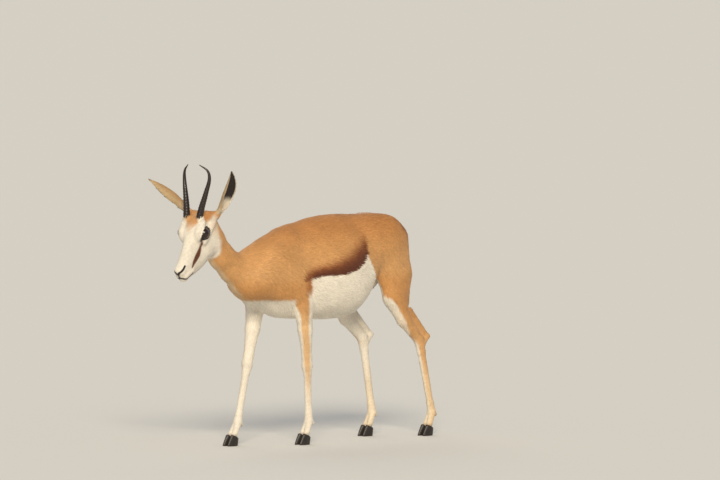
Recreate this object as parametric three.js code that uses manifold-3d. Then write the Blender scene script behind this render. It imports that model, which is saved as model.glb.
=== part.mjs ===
// A springbok ewe at life size, standing in mid-step with its head turned a little to its left.
// Millimetres, +Z up. The animal faces -X and its left side is -Y.
import * as THREE from "three";
import { mergeVertices } from "three/addons/utils/BufferGeometryUtils.js";
import Module from "manifold-3d";

const wasm = await Module();
wasm.setup();

// Driving dimensions
const withers = 735; // height of the shoulder
const croup = 751; // height of the rump's top
const keel = 416; // height of the breastbone
const belly = 404; // lowest point of the belly
const barrelHalf = 119; // half the width of the belly
const gap = 0.3; // left between pieces that touch

// Head: its frame sits midway between the eyes, with its axis running to the tip of the nose
const headAt = [476, 14, 716]; // forward, left, up
const headTurn = 15; // degrees to the left of the body
const headDrop = 51; // degrees below level
const eyeSpread = 38.5; // half the distance between the eyeballs' centres
const eyeRadius = 20;
const hornRise = 186; // height of a horn above its root, measured upright
const hornRoot = 12.2; // radius at the root
const earLength = 180;
const tailLength = 228;

// Joints of the legs: forward, left, up
const stance = {
  foreleg_left: { elbow: [46, 70, 466], knee: [24, 63, 262], fetlock: [16, 61, 78], hoof: [40, 61, 0] },
  foreleg_right: { elbow: [131, -70, 464], knee: [176, -63, 268], fetlock: [222, -60, 78], hoof: [250, -60, 0] },
  hindleg_left: { stifle: [-350, 73, 472], hock: [-474, 64, 318], fetlock: [-532, 61, 78], hoof: [-508, 61, 0] },
  hindleg_right: { stifle: [-222, -75, 474], hock: [-336, -63, 324], fetlock: [-374, -60, 78], hoof: [-348, -60, 0] },
};

// Numbers and vectors
const clamp = (x, low, high) => Math.min(Math.max(x, low), high);
const mix = (a, b, t) => a + (b - a) * t;
const between = (a, b, t) => a.map((x, i) => mix(x, b[i], t));
const plus = (a, b) => a.map((x, i) => x + b[i]);
const minus = (a, b) => a.map((x, i) => x - b[i]);
const times = (a, k) => a.map((x) => x * k);
const dot = (a, b) => a[0] * b[0] + a[1] * b[1] + a[2] * b[2];
const cross = (a, b) => [a[1] * b[2] - a[2] * b[1], a[2] * b[0] - a[0] * b[2], a[0] * b[1] - a[1] * b[0]];
const unit = (a) => times(a, 1 / Math.hypot(...a));
const radians = (degrees) => (degrees * Math.PI) / 180;

// A smooth curve through [at, value] stations, level beyond its ends
function curve(...stations) {
  const slopes = stations.map((s, i) => {
    const a = stations[Math.max(i - 1, 0)];
    const b = stations[Math.min(i + 1, stations.length - 1)];
    return (b[1] - a[1]) / (b[0] - a[0]);
  });
  return (x) => {
    const at = clamp(x, stations[0][0], stations[stations.length - 1][0]);
    let i = 0;
    while (i < stations.length - 2 && at > stations[i + 1][0]) i++;
    const span = stations[i + 1][0] - stations[i][0];
    const t = (at - stations[i][0]) / span;
    const a = stations[i][1];
    const b = stations[i + 1][1];
    const rise = t * t * (3 - 2 * t);
    return mix(a, b, rise) + span * t * (1 - t) * (slopes[i] * (1 - t) - slopes[i + 1] * t);
  };
}

// Distances to simple forms: each takes a point [forward, left, up] and is negative inside
function smooth(a, b, blend) {
  const h = Math.max(blend - Math.abs(a - b), 0) / blend;
  return Math.min(a, b) - (h * h * h * blend) / 6;
}

function taper(a, b, ra, rb, flat = 1) {
  const ba = minus(b, a);
  ba[1] /= flat;
  const l2 = dot(ba, ba);
  const rr = ra - rb;
  const a2 = l2 - rr * rr;
  return (p) => {
    const pa = [p[0] - a[0], (p[1] - a[1]) / flat, p[2] - a[2]];
    const y = dot(pa, ba);
    const z = y - l2;
    const side = minus(times(pa, l2), times(ba, y));
    const x2 = dot(side, side);
    const y2 = y * y * l2;
    const z2 = z * z * l2;
    const k = Math.sign(rr) * rr * rr * x2;
    if (Math.sign(z) * a2 * z2 > k) return Math.sqrt(x2 + z2) / l2 - rb;
    if (Math.sign(y) * a2 * y2 < k) return Math.sqrt(x2 + y2) / l2 - ra;
    return (Math.sqrt((x2 * a2) / l2) + y * rr) / l2 - ra;
  };
}

// An ellipsoid, its axes along the frame it is given
function egg(centre, radii, frame = bodyFrame) {
  return (p) => {
    const d = minus(p, centre);
    const q = frame.map((axis, i) => dot(axis, d) / radii[i]);
    const near = Math.hypot(...q);
    const steep = Math.hypot(q[0] / radii[0], q[1] / radii[1], q[2] / radii[2]);
    return steep > 1e-9 ? (near * (near - 1)) / steep : -Math.min(...radii);
  };
}

const bodyFrame = [[1, 0, 0], [0, 1, 0], [0, 0, 1]];

function tilted(degrees) {
  const c = Math.cos(radians(degrees));
  const s = Math.sin(radians(degrees));
  return [[c, 0, s], [0, 1, 0], [-s, 0, c]];
}

// The head's own axes: to the nose, to the left, and up out of the brow
const headFrame = (() => {
  const turn = radians(headTurn);
  const drop = radians(headDrop);
  const nose = [Math.cos(drop) * Math.cos(turn), Math.cos(drop) * Math.sin(turn), -Math.sin(drop)];
  const left = [-Math.sin(turn), Math.cos(turn), 0];
  return [nose, left, cross(nose, left)];
})();
const inHead = (nose, left, brow) =>
  plus(headAt, plus(times(headFrame[0], nose), plus(times(headFrame[1], left), times(headFrame[2], brow))));
const headPoint = (p) => headFrame.map((axis) => dot(axis, minus(p, headAt)));

// A body whose side view and top view follow curves along its length, with a rounded cap at each end
function hull({ top, under, half, ends, caps, narrowing, square }) {
  return (q) => {
    const at = clamp(q[0], ends[0], ends[1]);
    const high = top(at);
    const low = under(at);
    const tall = (high - low) / 2;
    const v = (q[2] - (high + low) / 2) / tall;
    const w = half(at) * (1 - narrowing(at) * clamp(v, -1, 1));
    const ring = Math.pow(Math.pow(Math.abs(q[1]) / w, square) + Math.pow(Math.abs(v), square), 1 / square);
    const past = (q[0] - at) / caps[q[0] < at ? 0 : 1];
    return (Math.hypot(ring, past) - 1) * Math.min(tall, w);
  };
}

const torsoForm = hull({
  top: curve([-416, 650], [-385, 712], [-330, 738], [-230, croup], [-120, 754], [-40, 747], [20, withers],
    [70, 727], [130, 703], [190, 658], [240, 615]),
  under: curve([-416, 602], [-360, 586], [-320, 562], [-286, 524], [-260, 480], [-234, 441], [-190, 413],
    [-105, belly], [-10, 409], [60, keel - 3], [115, keel + 4], [150, 437], [190, 466], [240, 490]),
  half: curve([-416, 34], [-380, 66], [-320, 82], [-260, 96], [-190, 112], [-110, barrelHalf], [-30, 112],
    [60, 92], [140, 80], [200, 68], [240, 56]),
  ends: [-416, 240],
  caps: [24, 48],
  narrowing: curve([-400, 0.1], [-300, 0.12], [-100, 0.2], [60, 0.26], [240, 0.1]),
  square: 2.15,
});

// Everything on one side of the trunk; side is 1 on the left and -1 on the right
function shoulder(side, { elbow }) {
  const point = [202 + (elbow[0] - 46) * 0.1, side * 56, 546];
  return [
    [taper([80, side * 36, 668], point, 32, 46, 0.8), 40],
    [taper(point, plus(elbow, [26, 0, 34]), 46, 40, 0.78), 34],
    [egg([point[0] - 90, side * 60, 574], [78, 36, 92], tilted(-28)), 46],
    [taper(plus(elbow, [-18, side * 2, 22]), plus(elbow, [4, 0, -6]), 17, 24, 0.8), 22],
  ];
}

function foreleg(side, { elbow, knee, fetlock }) {
  const aboveKnee = between(knee, elbow, 0.14);
  const belowKnee = between(knee, fetlock, 0.16);
  const aboveFetlock = between(knee, fetlock, 0.86);
  return [
    [taper(plus(elbow, [4, 0, -4]), between(elbow, knee, 0.42), 36, 26.5, 0.8), 26],
    [taper(between(elbow, knee, 0.42), aboveKnee, 26.5, 18, 0.84), 16],
    [taper(aboveKnee, plus(knee, [1.5, 0, 4]), 18, 19.5, 0.9), 10],
    [taper(plus(knee, [1, 0, -6]), belowKnee, 19, 14.6, 0.88), 10],
    [taper(plus(knee, [-12, 0, 2]), plus(belowKnee, [-4, 0, 0]), 8, 7, 1), 8],
    [taper(belowKnee, aboveFetlock, 13.8, 12.8, 0.82), 8],
    [taper(aboveFetlock, fetlock, 12.8, 16.2, 0.92), 10],
  ];
}

function haunch(side, { stifle }) {
  const reach = (stifle[0] + 350) / 128;
  return [
    [egg([-312, side * 40, 660], [108, 48, 80], tilted(-14)), 60],
    [taper([-330 + reach * 24, side * 48, 636], plus(stifle, [-8, side * -6, 16]), 74, 44, 0.64), 36],
    [taper([-392, side * 40, 660], [-392 + reach * 42, side * 52, 545], 42, 46, 0.72), 44],
    [taper([-392 + reach * 42, side * 52, 545], [-398 + reach * 100, side * 61, 458], 46, 29, 0.7), 34],
  ];
}

function hindleg(side, { stifle, hock, fetlock }) {
  const calf = plus(between(stifle, hock, 0.5), [12, 0, 0]);
  const point = plus(hock, [-35, 0, 14]);
  const belowHock = between(hock, fetlock, 0.15);
  const aboveFetlock = between(hock, fetlock, 0.87);
  return [
    [taper(plus(stifle, [-4, side * -2, -2]), calf, 42, 27.5, 0.72), 30],
    [taper(calf, plus(hock, [6, 0, 8]), 26.5, 18.5, 0.8), 18],
    [taper(plus(calf, [-26, 0, 26]), point, 13, 8.5, 0.75), 18],
    [taper(plus(calf, [-14, 0, 12]), plus(hock, [-18, 0, 10]), 13, 11, 0.42), 12],
    [taper(point, plus(hock, [-8, 0, -12]), 10, 14.5, 0.85), 12],
    [taper(plus(hock, [2, 0, 4]), belowHock, 19.5, 15.8, 0.82), 12],
    [taper(belowHock, aboveFetlock, 14.8, 12.8, 0.82), 10],
    [taper(aboveFetlock, fetlock, 12.8, 16, 0.92), 10],
  ];
}

// Pastern and the two digits down into the hooves
function foot({ fetlock, hoof }) {
  const coronet = [hoof[0] - 6, hoof[1], 36];
  return [-1, 1].flatMap((toe) => [
    [taper(plus(fetlock, [2, toe * 5, -4]), plus(coronet, [0, toe * 9.2, 0]), 12, 11, 0.84), 7],
    [taper(plus(coronet, [0, toe * 9.2, 0]), plus(coronet, [6, toe * 9.4, -14]), 11, 10, 0.8), 4],
  ]).concat([
    [egg(plus(fetlock, [-14, 0, -8]), [6, 10.5, 8]), 8],
  ]);
}

const neckForm = [
  [taper([150, 0, 590], [206, 0, 574], 92, 80, 0.68), 44],
  [taper([206, 0, 574], [250, 0, 570], 80, 61, 0.68), 36],
  [taper([250, 0, 570], [300, 0, 595], 61, 49, 0.72), 30],
  [taper([300, 0, 595], [350, 3, 635], 49, 45, 0.76), 28],
  [taper([350, 3, 635], [390, 6, 690], 45, 42, 0.82), 28],
  [taper([390, 6, 690], [420, 8, 738], 42, 40, 0.86), 26],
];

const brisket = [[egg([200, 0, 556], [80, 58, 80], tilted(14)), 44]];

// The skull and jaw in the head's frame
const skullForm = hull({
  top: curve([-90, -4], [-70, 16], [-50, 31], [-26, 40], [0, 39], [30, 29], [60, 21], [90, 15], [115, 11], [135, 8],
    [150, 4]),
  under: curve([-90, -58], [-70, -78], [-45, -96], [-15, -108], [15, -109], [45, -105], [75, -95], [105, -80],
    [130, -65], [150, -52]),
  half: curve([-90, 24], [-70, 36], [-45, 41], [-15, 43], [10, 41], [40, 33], [70, 28], [100, 25], [125, 23.5],
    [150, 18.5]),
  ends: [-90, 150],
  caps: [14, 15],
  narrowing: curve([-90, 0.1], [-20, 0.12], [30, 0.12], [90, 0.02], [150, 0]),
  square: 2.25,
});

const faceForm = (side) => [
  [egg([3, side * 31, 5], [33, 14.5, 28]), 24],
  [taper([-22, side * 36, 24], [14, side * 34, 24], 9, 7), 12],
  [taper([22, side * 36, -20], [-56, side * 41, -16], 9, 11), 16],
  [egg([-2, side * 25, -60], [48, 19, 40]), 18],
  [taper([-30, side * 24, 25], [-33, side * 25, 32], 16, 14.5), 12],
  [taper([-66, side * 28, 0], [-84, side * 43, -14], 20, 16), 18],
  [egg([144, side * 8, -9], [15, 11.5, 13.5]), 10],
  [taper([118, side * 17, -42], [150, side * 12, -31], 10, 10), 10],
];
const muzzleForm = [
  [egg([148, 0, -4], [13.5, 12.5, 12]), 8],
  [egg([146, 0, -43], [20, 15, 11]), 8],
];

// The whole body as one field
const gather = (forms) => (p, start) => forms.reduce((d, [form, blend]) => smooth(d, form(p), blend), start);
const legSide = (name) => (name.endsWith("left") ? 1 : -1);
const limbForms = Object.entries(stance).flatMap(([name, joints]) => {
  const side = legSide(name);
  const upper = name.startsWith("fore") ? shoulder(side, joints) : haunch(side, joints);
  const lower = name.startsWith("fore") ? foreleg(side, joints) : hindleg(side, joints);
  return [{ side, forms: gather([...upper, ...lower, ...foot(joints)]), reach: joints }];
});
const trunkForms = gather([...brisket, ...neckForm]);
const headForms = gather([...faceForm(1), ...faceForm(-1), ...muzzleForm]);

const tailRoot = [-426, 0, 694];
const tailBend = plus(tailRoot, [-34, 0, -36]);
const dock = taper(tailRoot, tailBend, 17, 11.5, 0.9);

function headField(p) {
  const q = headPoint(p);
  return headForms(q, skullForm(q));
}

function bodyField(p) {
  let d = trunkForms(p, torsoForm(p));
  limbForms.forEach(({ forms }) => {
    d = forms(p, d);
  });
  d = smooth(d, dock(p), 18);
  return p[0] > 280 ? smooth(d, headField(p), 26) : d;
}

// A closed mesh of a field's surface inside a box, with its vertices drawn onto the surface
function skin(field, low, high, cell, level = 0) {
  const n = cell.map((c, i) => Math.ceil((high[i] - low[i]) / c) + 1);
  const at = (i, j, k) => [low[0] + i * cell[0], low[1] + j * cell[1], low[2] + k * cell[2]];
  const index = (i, j, k) => (k * n[1] + j) * n[0] + i;
  const value = new Float64Array(n[0] * n[1] * n[2]);
  const edge = (i, j, k) => i * j * k === 0 || i === n[0] - 1 || j === n[1] - 1 || k === n[2] - 1;
  for (let k = 0; k < n[2]; k++)
    for (let j = 0; j < n[1]; j++)
      for (let i = 0; i < n[0]; i++)
        value[index(i, j, k)] = edge(i, j, k) ? Math.min(...cell) : field(at(i, j, k)) - level;
  const corners = [0, 1, 2, 3, 4, 5, 6, 7].map((c) => [c & 1, (c >> 1) & 1, (c >> 2) & 1]);
  const sides = corners.flatMap((a, i) =>
    corners.flatMap((b, j) => (j > i && Math.abs(a[0] - b[0]) + Math.abs(a[1] - b[1]) + Math.abs(a[2] - b[2]) === 1
      ? [[i, j]] : [])));
  const vertices = [];
  const vertexOf = new Map();
  const cellVertex = (i, j, k) => {
    const key = index(i, j, k);
    if (vertexOf.has(key)) return vertexOf.get(key);
    const values = corners.map((c) => value[index(i + c[0], j + c[1], k + c[2])]);
    let sum = [0, 0, 0];
    let count = 0;
    sides.forEach(([a, b]) => {
      if (values[a] < 0 === values[b] < 0) return;
      sum = plus(sum, between(corners[a], corners[b], values[a] / (values[a] - values[b])));
      count++;
    });
    let p = at(...plus([i, j, k], times(sum, 1 / count)));
    const start = p;
    const inside = p.every((x, a) => x > low[a] + 2 * cell[a] && x < high[a] - 2 * cell[a]);
    for (let step = 0; inside && step < 3; step++) {
      const d = field(p) - level;
      const slope = [0, 1, 2].map((a) => {
        const nudge = [0, 0, 0];
        nudge[a] = 0.5;
        return field(plus(p, nudge)) - field(minus(p, nudge));
      });
      const steep = Math.max(dot(slope, slope), 0.2);
      p = minus(p, times(slope, d / steep));
      p = p.map((x, a) => clamp(x, start[a] - cell[a] * 0.45, start[a] + cell[a] * 0.45));
    }
    vertices.push(...p);
    vertexOf.set(key, vertices.length / 3 - 1);
    return vertices.length / 3 - 1;
  };
  const faces = [];
  const quad = (a, b, c, d, turn) => {
    const ring = turn ? [a, b, c, d] : [d, c, b, a];
    const point = (v) => vertices.slice(v * 3, v * 3 + 3);
    const far = (u, v) => Math.hypot(...minus(point(ring[u]), point(ring[v])));
    const [p, q, r, s] = ring;
    faces.push(...(far(0, 2) < far(1, 3) ? [p, q, r, p, r, s] : [q, r, s, q, s, p]));
  };
  for (let k = 0; k < n[2] - 1; k++)
    for (let j = 0; j < n[1] - 1; j++)
      for (let i = 0; i < n[0] - 1; i++) {
        const here = value[index(i, j, k)] < 0;
        if (here !== value[index(i + 1, j, k)] < 0)
          quad(cellVertex(i, j - 1, k - 1), cellVertex(i, j, k - 1), cellVertex(i, j, k), cellVertex(i, j - 1, k), here);
        if (here !== value[index(i, j + 1, k)] < 0)
          quad(cellVertex(i - 1, j, k - 1), cellVertex(i - 1, j, k), cellVertex(i, j, k), cellVertex(i, j, k - 1), here);
        if (here !== value[index(i, j, k + 1)] < 0)
          quad(cellVertex(i - 1, j - 1, k), cellVertex(i, j - 1, k), cellVertex(i, j, k), cellVertex(i - 1, j, k), here);
      }
  return solidFrom(vertices, faces);
}

function solidFrom(vertices, faces) {
  return new wasm.Manifold(new wasm.Mesh({
    numProp: 3,
    vertProperties: new Float32Array(vertices),
    triVerts: new Uint32Array(faces),
  }));
}

function solidOf(geometry) {
  const plain = geometry.clone();
  plain.deleteAttribute("normal");
  plain.deleteAttribute("uv");
  const merged = mergeVertices(plain, 1e-4);
  return solidFrom(merged.attributes.position.array, merged.index.array);
}

// A big block whose top lies on the plane through a point, square to the axis that points out of it
function block(point, outward, lift = 0) {
  const size = 2400;
  const box = new THREE.BoxGeometry(size, size, size);
  const turn = new THREE.Quaternion().setFromUnitVectors(new THREE.Vector3(0, 0, 1), new THREE.Vector3(...unit(outward)));
  const centre = plus(point, times(unit(outward), lift - size / 2));
  box.applyQuaternion(turn);
  box.translate(...centre);
  return solidOf(box);
}

// The largest closed surface of a solid, with whatever a cut left loose dropped
function largest(solid) {
  const pieces = solid.decompose();
  return pieces.reduce((best, piece) => (piece.volume() > best.volume() ? piece : best));
}

// A closed body through rings of points, capped at both ends
function loft(rings) {
  const around = rings[0].length;
  const vertices = rings.flat(2);
  const faces = [];
  for (let r = 0; r < rings.length - 1; r++)
    for (let i = 0; i < around; i++) {
      const a = r * around + i;
      const b = r * around + ((i + 1) % around);
      faces.push(a, b, b + around, a, b + around, a + around);
    }
  [0, rings.length - 1].forEach((r) => {
    const middle = times(rings[r].reduce((sum, p) => plus(sum, p)), 1 / around);
    const hub = vertices.push(...middle) / 3 - 1;
    for (let i = 0; i < around; i++) {
      const rim = [r * around + i, r * around + ((i + 1) % around)];
      faces.push(hub, ...(r ? rim : rim.reverse()));
    }
  });
  return solidFrom(vertices, faces);
}

// Rings square to a path; section gives a ring's points as offsets [across, front] at a share of the length
function sweep(path, steps, facing, section, around) {
  const rings = steps.map((t) => {
    const along = unit(minus(path(Math.min(t + 0.01, Math.max(t, 1))), path(Math.max(t - 0.01, Math.min(t, 0)))));
    const across = unit(cross(facing, along));
    const front = cross(along, across);
    const place = ([x, y]) => plus(path(t), plus(times(across, x), times(front, y)));
    return Array.from({ length: around }, (_, i) => place(section(t, (i / around) * Math.PI * 2, place)));
  });
  return loft(rings);
}

// A section that closes in from outside onto a field's surface
const closing = (field, from) => (t, turn, place) => {
  const way = [Math.cos(turn), Math.sin(turn)];
  let far = from;
  for (let step = 0; step < 60; step++) far = Math.max(far - field(place(times(way, far))) * 0.6, 1);
  return times(way, far);
};
const range = (count, from = 0, to = 1) => Array.from({ length: count }, (_, i) => mix(from, to, i / (count - 1)));

// A solid with corners closer than a hair joined, and sheets that touch along an edge drawn a hair apart
const hair = 0.05;
function tidy(solid) {
  const { vertProperties, triVerts } = solid.getMesh();
  const corner = (v) => [...vertProperties.slice(v * 3, v * 3 + 3)];
  const joined = Array.from({ length: vertProperties.length / 3 }, (_, v) => v);
  const find = (v) => (joined[v] === v ? v : find(joined[v]));
  for (let t = 0; t < triVerts.length; t++) {
    const a = triVerts[t];
    const b = triVerts[t % 3 === 2 ? t - 2 : t + 1];
    if (Math.hypot(...minus(corner(a), corner(b))) < hair) joined[find(a)] = find(b);
  }
  const faces = new Map();
  for (let t = 0; t < triVerts.length; t += 3) {
    const face = [0, 1, 2].map((i) => find(triVerts[t + i]));
    const key = [...face].sort((a, b) => a - b).join();
    if (new Set(face).size < 3) continue;
    if (!faces.delete(key)) faces.set(key, face);
  }
  const mesh = largest(solidFrom(vertProperties, [...faces.values()].flat())).getMesh();
  const points = Array.from({ length: mesh.vertProperties.length / 3 }, (_, v) =>
    [...mesh.vertProperties.slice(v * 3, v * 3 + 3)]);
  const outward = points.map(() => [0, 0, 0]);
  for (let t = 0; t < mesh.triVerts.length; t += 3) {
    const [a, b, c] = mesh.triVerts.slice(t, t + 3);
    const way = cross(minus(points[b], points[a]), minus(points[c], points[a]));
    [a, b, c].forEach((v) => {
      outward[v] = plus(outward[v], way);
    });
  }
  const twins = new Map();
  points.forEach((point, v) => {
    const key = point.map((x) => Math.round(x * 200)).join();
    twins.set(key, [...(twins.get(key) ?? []), v]);
  });
  twins.forEach((same) => {
    if (same.length > 1) same.forEach((v) => {
      points[v] = minus(points[v], times(unit(outward[v]), hair));
    });
  });
  return { points, faces: [...mesh.triVerts] };
}

// Where the parts of the body meet: a point on each plane and the way out of the part
const neckCut = [[185, 0, 680], [-0.855, 0, -0.518]];
const headCut = [[386, 0, 800], [0.99, 0, -0.141]];
const tailCut = [[-446, 0, 0], [1, 0, 0]];
const footCut = ({ hoof }) => [[hoof[0] - 6, hoof[1], 32], [0.371, 0, -0.928]];
const beyond = ([point, outward]) => [point, times(outward, -1)];
const within = (cuts, lift) => cuts.map(([point, outward]) => block(point, outward, lift))
  .reduce((a, b) => a.intersect(b));

function legCuts(name) {
  const side = legSide(name);
  const { elbow, stifle, hoof } = stance[name];
  const cuts = name.startsWith("fore")
    ? [
      [[0, side * 50, 430], [0, side * -0.81, 0.58]],
      [[Math.min(elbow[0], hoof[0]) - 80, 0, 0], [-1, 0, 0]],
      [[Math.max(elbow[0], hoof[0]) + 80, 0, 0], [1, 0, 0]],
    ]
    : [
      [[-300, 0, 568], [0.3, 0, 0.95]],
      [[stifle[0] + 48, 0, 440], [0.92, 0, 0.38]],
    ];
  return [...cuts, [[0, 0, 0], [0, -side, 0]]];
}

// A leg's own line, from a height in its upper half down past the coronet
function legLine(joints, height) {
  const [above, middle, fetlock, hoof] = Object.values(joints);
  const start = between(middle, above, (height - middle[2]) / (above[2] - middle[2]));
  const line = new THREE.CatmullRomCurve3([start, middle, between(middle, fetlock, 0.2), between(middle, fetlock, 0.84),
    fetlock, plus(hoof, [-7, 0, 38]), plus(hoof, [2, 0, 16])].map((p) => new THREE.Vector3(...p)), false, "centripetal");
  return (t) => line.getPointAt(t).toArray();
}

const parts = {};

// Torso, less the legs, the neck and the tail
let torso = skin(bodyField, [-500, -190, 340], [330, 190, 800], [31, 23, 23.5]);
torso = torso.intersect(block(...beyond(neckCut), -gap / 2));
torso = torso.intersect(block(...beyond(tailCut), -gap / 2));
Object.keys(stance).forEach((name) => {
  torso = torso.subtract(within(legCuts(name), gap / 2));
});
parts.torso = largest(torso);

parts.neck = largest(skin(bodyField, [110, -110, 470], [470, 120, 830], [18, 14.5, 16.5])
  .intersect(block(...neckCut, -gap / 2))
  .intersect(block(...headCut, -gap / 2)));

// Legs down to the coronets, and the hooves below
Object.entries(stance).forEach(([name, joints]) => {
  const side = legSide(name);
  const ats = Object.values(joints).map((joint) => joint[0]);
  const fore = name.startsWith("fore");
  const low = [Math.min(...ats) - (fore ? 90 : 60), side > 0 ? -20 : -130, 10];
  const high = [Math.max(...ats) + 90, side > 0 ? 130 : 20, fore ? 560 : 640];
  const parting = joints[fore ? "knee" : "hock"][2] + (fore ? 75 : 105);
  const upper = skin(bodyField, [low[0], low[1], parting - 40], high, fore ? [16.5, 13, 18] : [21, 15.5, 19.5])
    .intersect(block([0, 0, parting - 3], [0, 0, -1]));
  const lower = sweep(legLine(joints, parting + 30), range(29), [1, 0, 0], closing(bodyField, 60), 12)
    .intersect(block([0, 0, parting + 3], [0, 0, 1]));
  parts[name] = largest(upper.add(lower)
    .intersect(within(legCuts(name), -gap / 2))
    .intersect(block(...footCut(joints), -gap / 2)));
  [-1, 1].forEach((toe) => {
    const [point, down] = footCut(joints);
    const top = (x) => point[2] + ((x - point[0]) * down[0]) / -down[2] - gap;
    const ring = (share, rise) => Array.from({ length: 14 }, (_, i) => {
      const turn = (i / 14) * Math.PI * 2;
      const sole = [5 + 23 * Math.cos(turn), 8.4 * Math.sin(turn) * (1 - 0.22 * Math.cos(turn))];
      const rim = [-6 + 15.5 * Math.cos(turn), 9.2 * Math.sin(turn)];
      const [x, y] = between(sole, rim, share).map((v) => v * (rise === 0 ? 0.95 : 1));
      const at = joints.hoof[0] + x;
      const z = rise === 1 ? top(at) : rise === 0 ? 0 : mix(2, top(at), share);
      return [at, joints.hoof[1] + toe * (9.9 + 0.05 * (x + 20)) + y, z];
    });
    const outer = (toe > 0) === (side > 0) ? "outer" : "inner";
    parts[`${name.replace("leg", "hoof")}_${outer}`] = loft([ring(0, 0), ring(0.04, 0.5), ring(1, 1)]);
  });
});

// Horns: a lyre, bowed out and back and hooked in at the tips
function horn(side, grow) {
  const root = inHead(-32, 0, 35);
  const spread = curve([0, 24], [0.25, 30], [0.5, 40], [0.75, 49], [0.9, 44], [1, 22]);
  const lean = curve([0, 0], [0.12, 0], [0.5, 5], [1, 5]);
  const back = curve([0, 0], [0.5, 6], [0.75, 11], [0.9, 8], [1, -3]);
  const thick = curve([0, hornRoot], [0.15, 11.3], [0.5, 8.2], [0.8, 5.2], [0.94, 3], [1, 1.2]);
  const path = (t) => {
    const out = times(headFrame[1], side * spread(Math.max(t, 0)) + lean(t));
    return plus(root, plus(out, [-back(Math.max(t, 0)), 0, hornRise * t - 8]));
  };
  const ridge = (t) => (t > 0.1 && t < 0.66 ? 0.8 * Math.max(0, Math.sin(t * 100)) : 0);
  const section = (t, turn) => {
    const r = thick(t) + ridge(t) + grow;
    return [r * Math.cos(turn) * 0.94, r * Math.sin(turn)];
  };
  return sweep(path, [-0.012 * Math.sign(grow), ...range(25, 0.01, 1)], [1, 0, 0], section, 9);
}

// Ears: a leaf folded round its opening
const ears = {
  left: { root: inHead(-84, 44, -15), way: [0.12, 0.55, 0.83], open: [-0.1, 0.9, -0.4], bow: [-13, 12, 0] },
  right: { root: inHead(-79, -44, -3), way: [0.575, -0.53, 0.625], open: [0.25, -0.68, -0.6], bow: [0, -2, 2] },
};
const earWidth = curve([0, 12], [0.12, 14], [0.28, 21], [0.45, 26], [0.65, 23], [0.85, 13], [1, 2.5]);
function ear({ root, way, open, bow }, grow) {
  const path = (t) => plus(root, plus(times(unit(way), t * earLength), times(bow, 4 * t * (1 - t))));
  const outer = (t, turn) => {
    const w = earWidth(t) + grow;
    const deep = w * mix(0.95, 0.62, Math.min(t * 3, 1));
    return [w * Math.cos(turn), deep * Math.sin(turn)];
  };
  const cup = (t, turn) => {
    const w = Math.max(earWidth(t) - 2.4, 0.5);
    const deep = w * mix(0.95, 0.62, Math.min(t * 3, 1));
    const opened = clamp((t - 0.14) * 5, 0, 1);
    return [w * Math.cos(turn) * mix(0.6, 1, opened), deep * (Math.sin(turn) * mix(0.6, 1.9, opened) + 1.05 * opened)];
  };
  const whole = sweep(path, range(11), open, outer, 13);
  return grow ? whole : whole.subtract(sweep(path, range(10, 0.12, 0.96), open, cup, 13));
}

// The head, with sockets for the eyes, horns and ears, lids round the eyes, a mouth line and nostrils
const sides = { left: 1, right: -1 };
const eyeCentre = (side) => inHead(2, side * eyeSpread, 3);
const ball = (radius) => solidOf(new THREE.SphereGeometry(radius, 16, 10));

function onSkin(p) {
  let q = p;
  for (let step = 0; step < 12; step++) {
    const slope = [0, 1, 2].map((a) => {
      const nudge = [0, 0, 0];
      nudge[a] = 0.4;
      return (headField(plus(q, nudge)) - headField(minus(q, nudge))) / 0.8;
    });
    q = minus(q, times(slope, headField(q) / Math.max(dot(slope, slope), 0.2)));
  }
  return q;
}

function groove(stations, radius) {
  const points = stations.map((station) => new THREE.Vector3(...onSkin(inHead(...station))));
  const line = new THREE.CatmullRomCurve3(points);
  const path = (t) => line.getPointAt(t).toArray();
  const section = (t, turn) => times([Math.cos(turn), Math.sin(turn)], radius * mix(0.55, 1, Math.sin(Math.PI * t)));
  return sweep(path, range(16), headFrame[2], section, 6);
}

function lids(side) {
  const out = unit(plus(times(headFrame[1], side * 0.95), plus(times(headFrame[0], 0.16), times(headFrame[2], 0.24))));
  const ring = new THREE.TorusGeometry(17, 3.2, 5, 16);
  ring.scale(1.13, 0.9, 1);
  const long = unit(cross(cross(out, headFrame[0]), out));
  const basis = new THREE.Matrix4().makeBasis(new THREE.Vector3(...long), new THREE.Vector3(...cross(out, long)),
    new THREE.Vector3(...out));
  ring.applyMatrix4(basis);
  ring.translate(...plus(eyeCentre(side), times(out, 11.5)));
  return solidOf(ring);
}

let head = skin(bodyField, [350, -110, 520], [650, 130, 860], [11.5, 10.5, 11.5]).intersect(block(...beyond(headCut), -gap / 2));
Object.values(sides).forEach((side) => {
  head = head.add(lids(side));
  head = head.subtract(ball(eyeRadius + gap).translate(eyeCentre(side)));
  head = head.subtract(horn(side, gap));
  head = head.subtract(groove([[131, side * 19, -2], [146, side * 18, -1], [157, side * 13, -1], [163, side * 6, -2]], 2.4));
});
head = head.subtract(groove([[128, 26, -50], [142, 23, -46], [156, 17, -39], [167, 8, -29], [169, 0, -24],
  [167, -8, -29], [156, -17, -39], [142, -23, -46], [128, -26, -50]], 1.7));
Object.values(ears).forEach((place) => {
  head = head.subtract(ear(place, gap));
});
parts.head = largest(head);
Object.entries(sides).forEach(([name, side]) => {
  parts[`eye_${name}`] = ball(eyeRadius).translate(eyeCentre(side));
  parts[`horn_${name}`] = horn(side, 0);
  parts[`ear_${name}`] = largest(ear(ears[name], 0));
});

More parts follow.
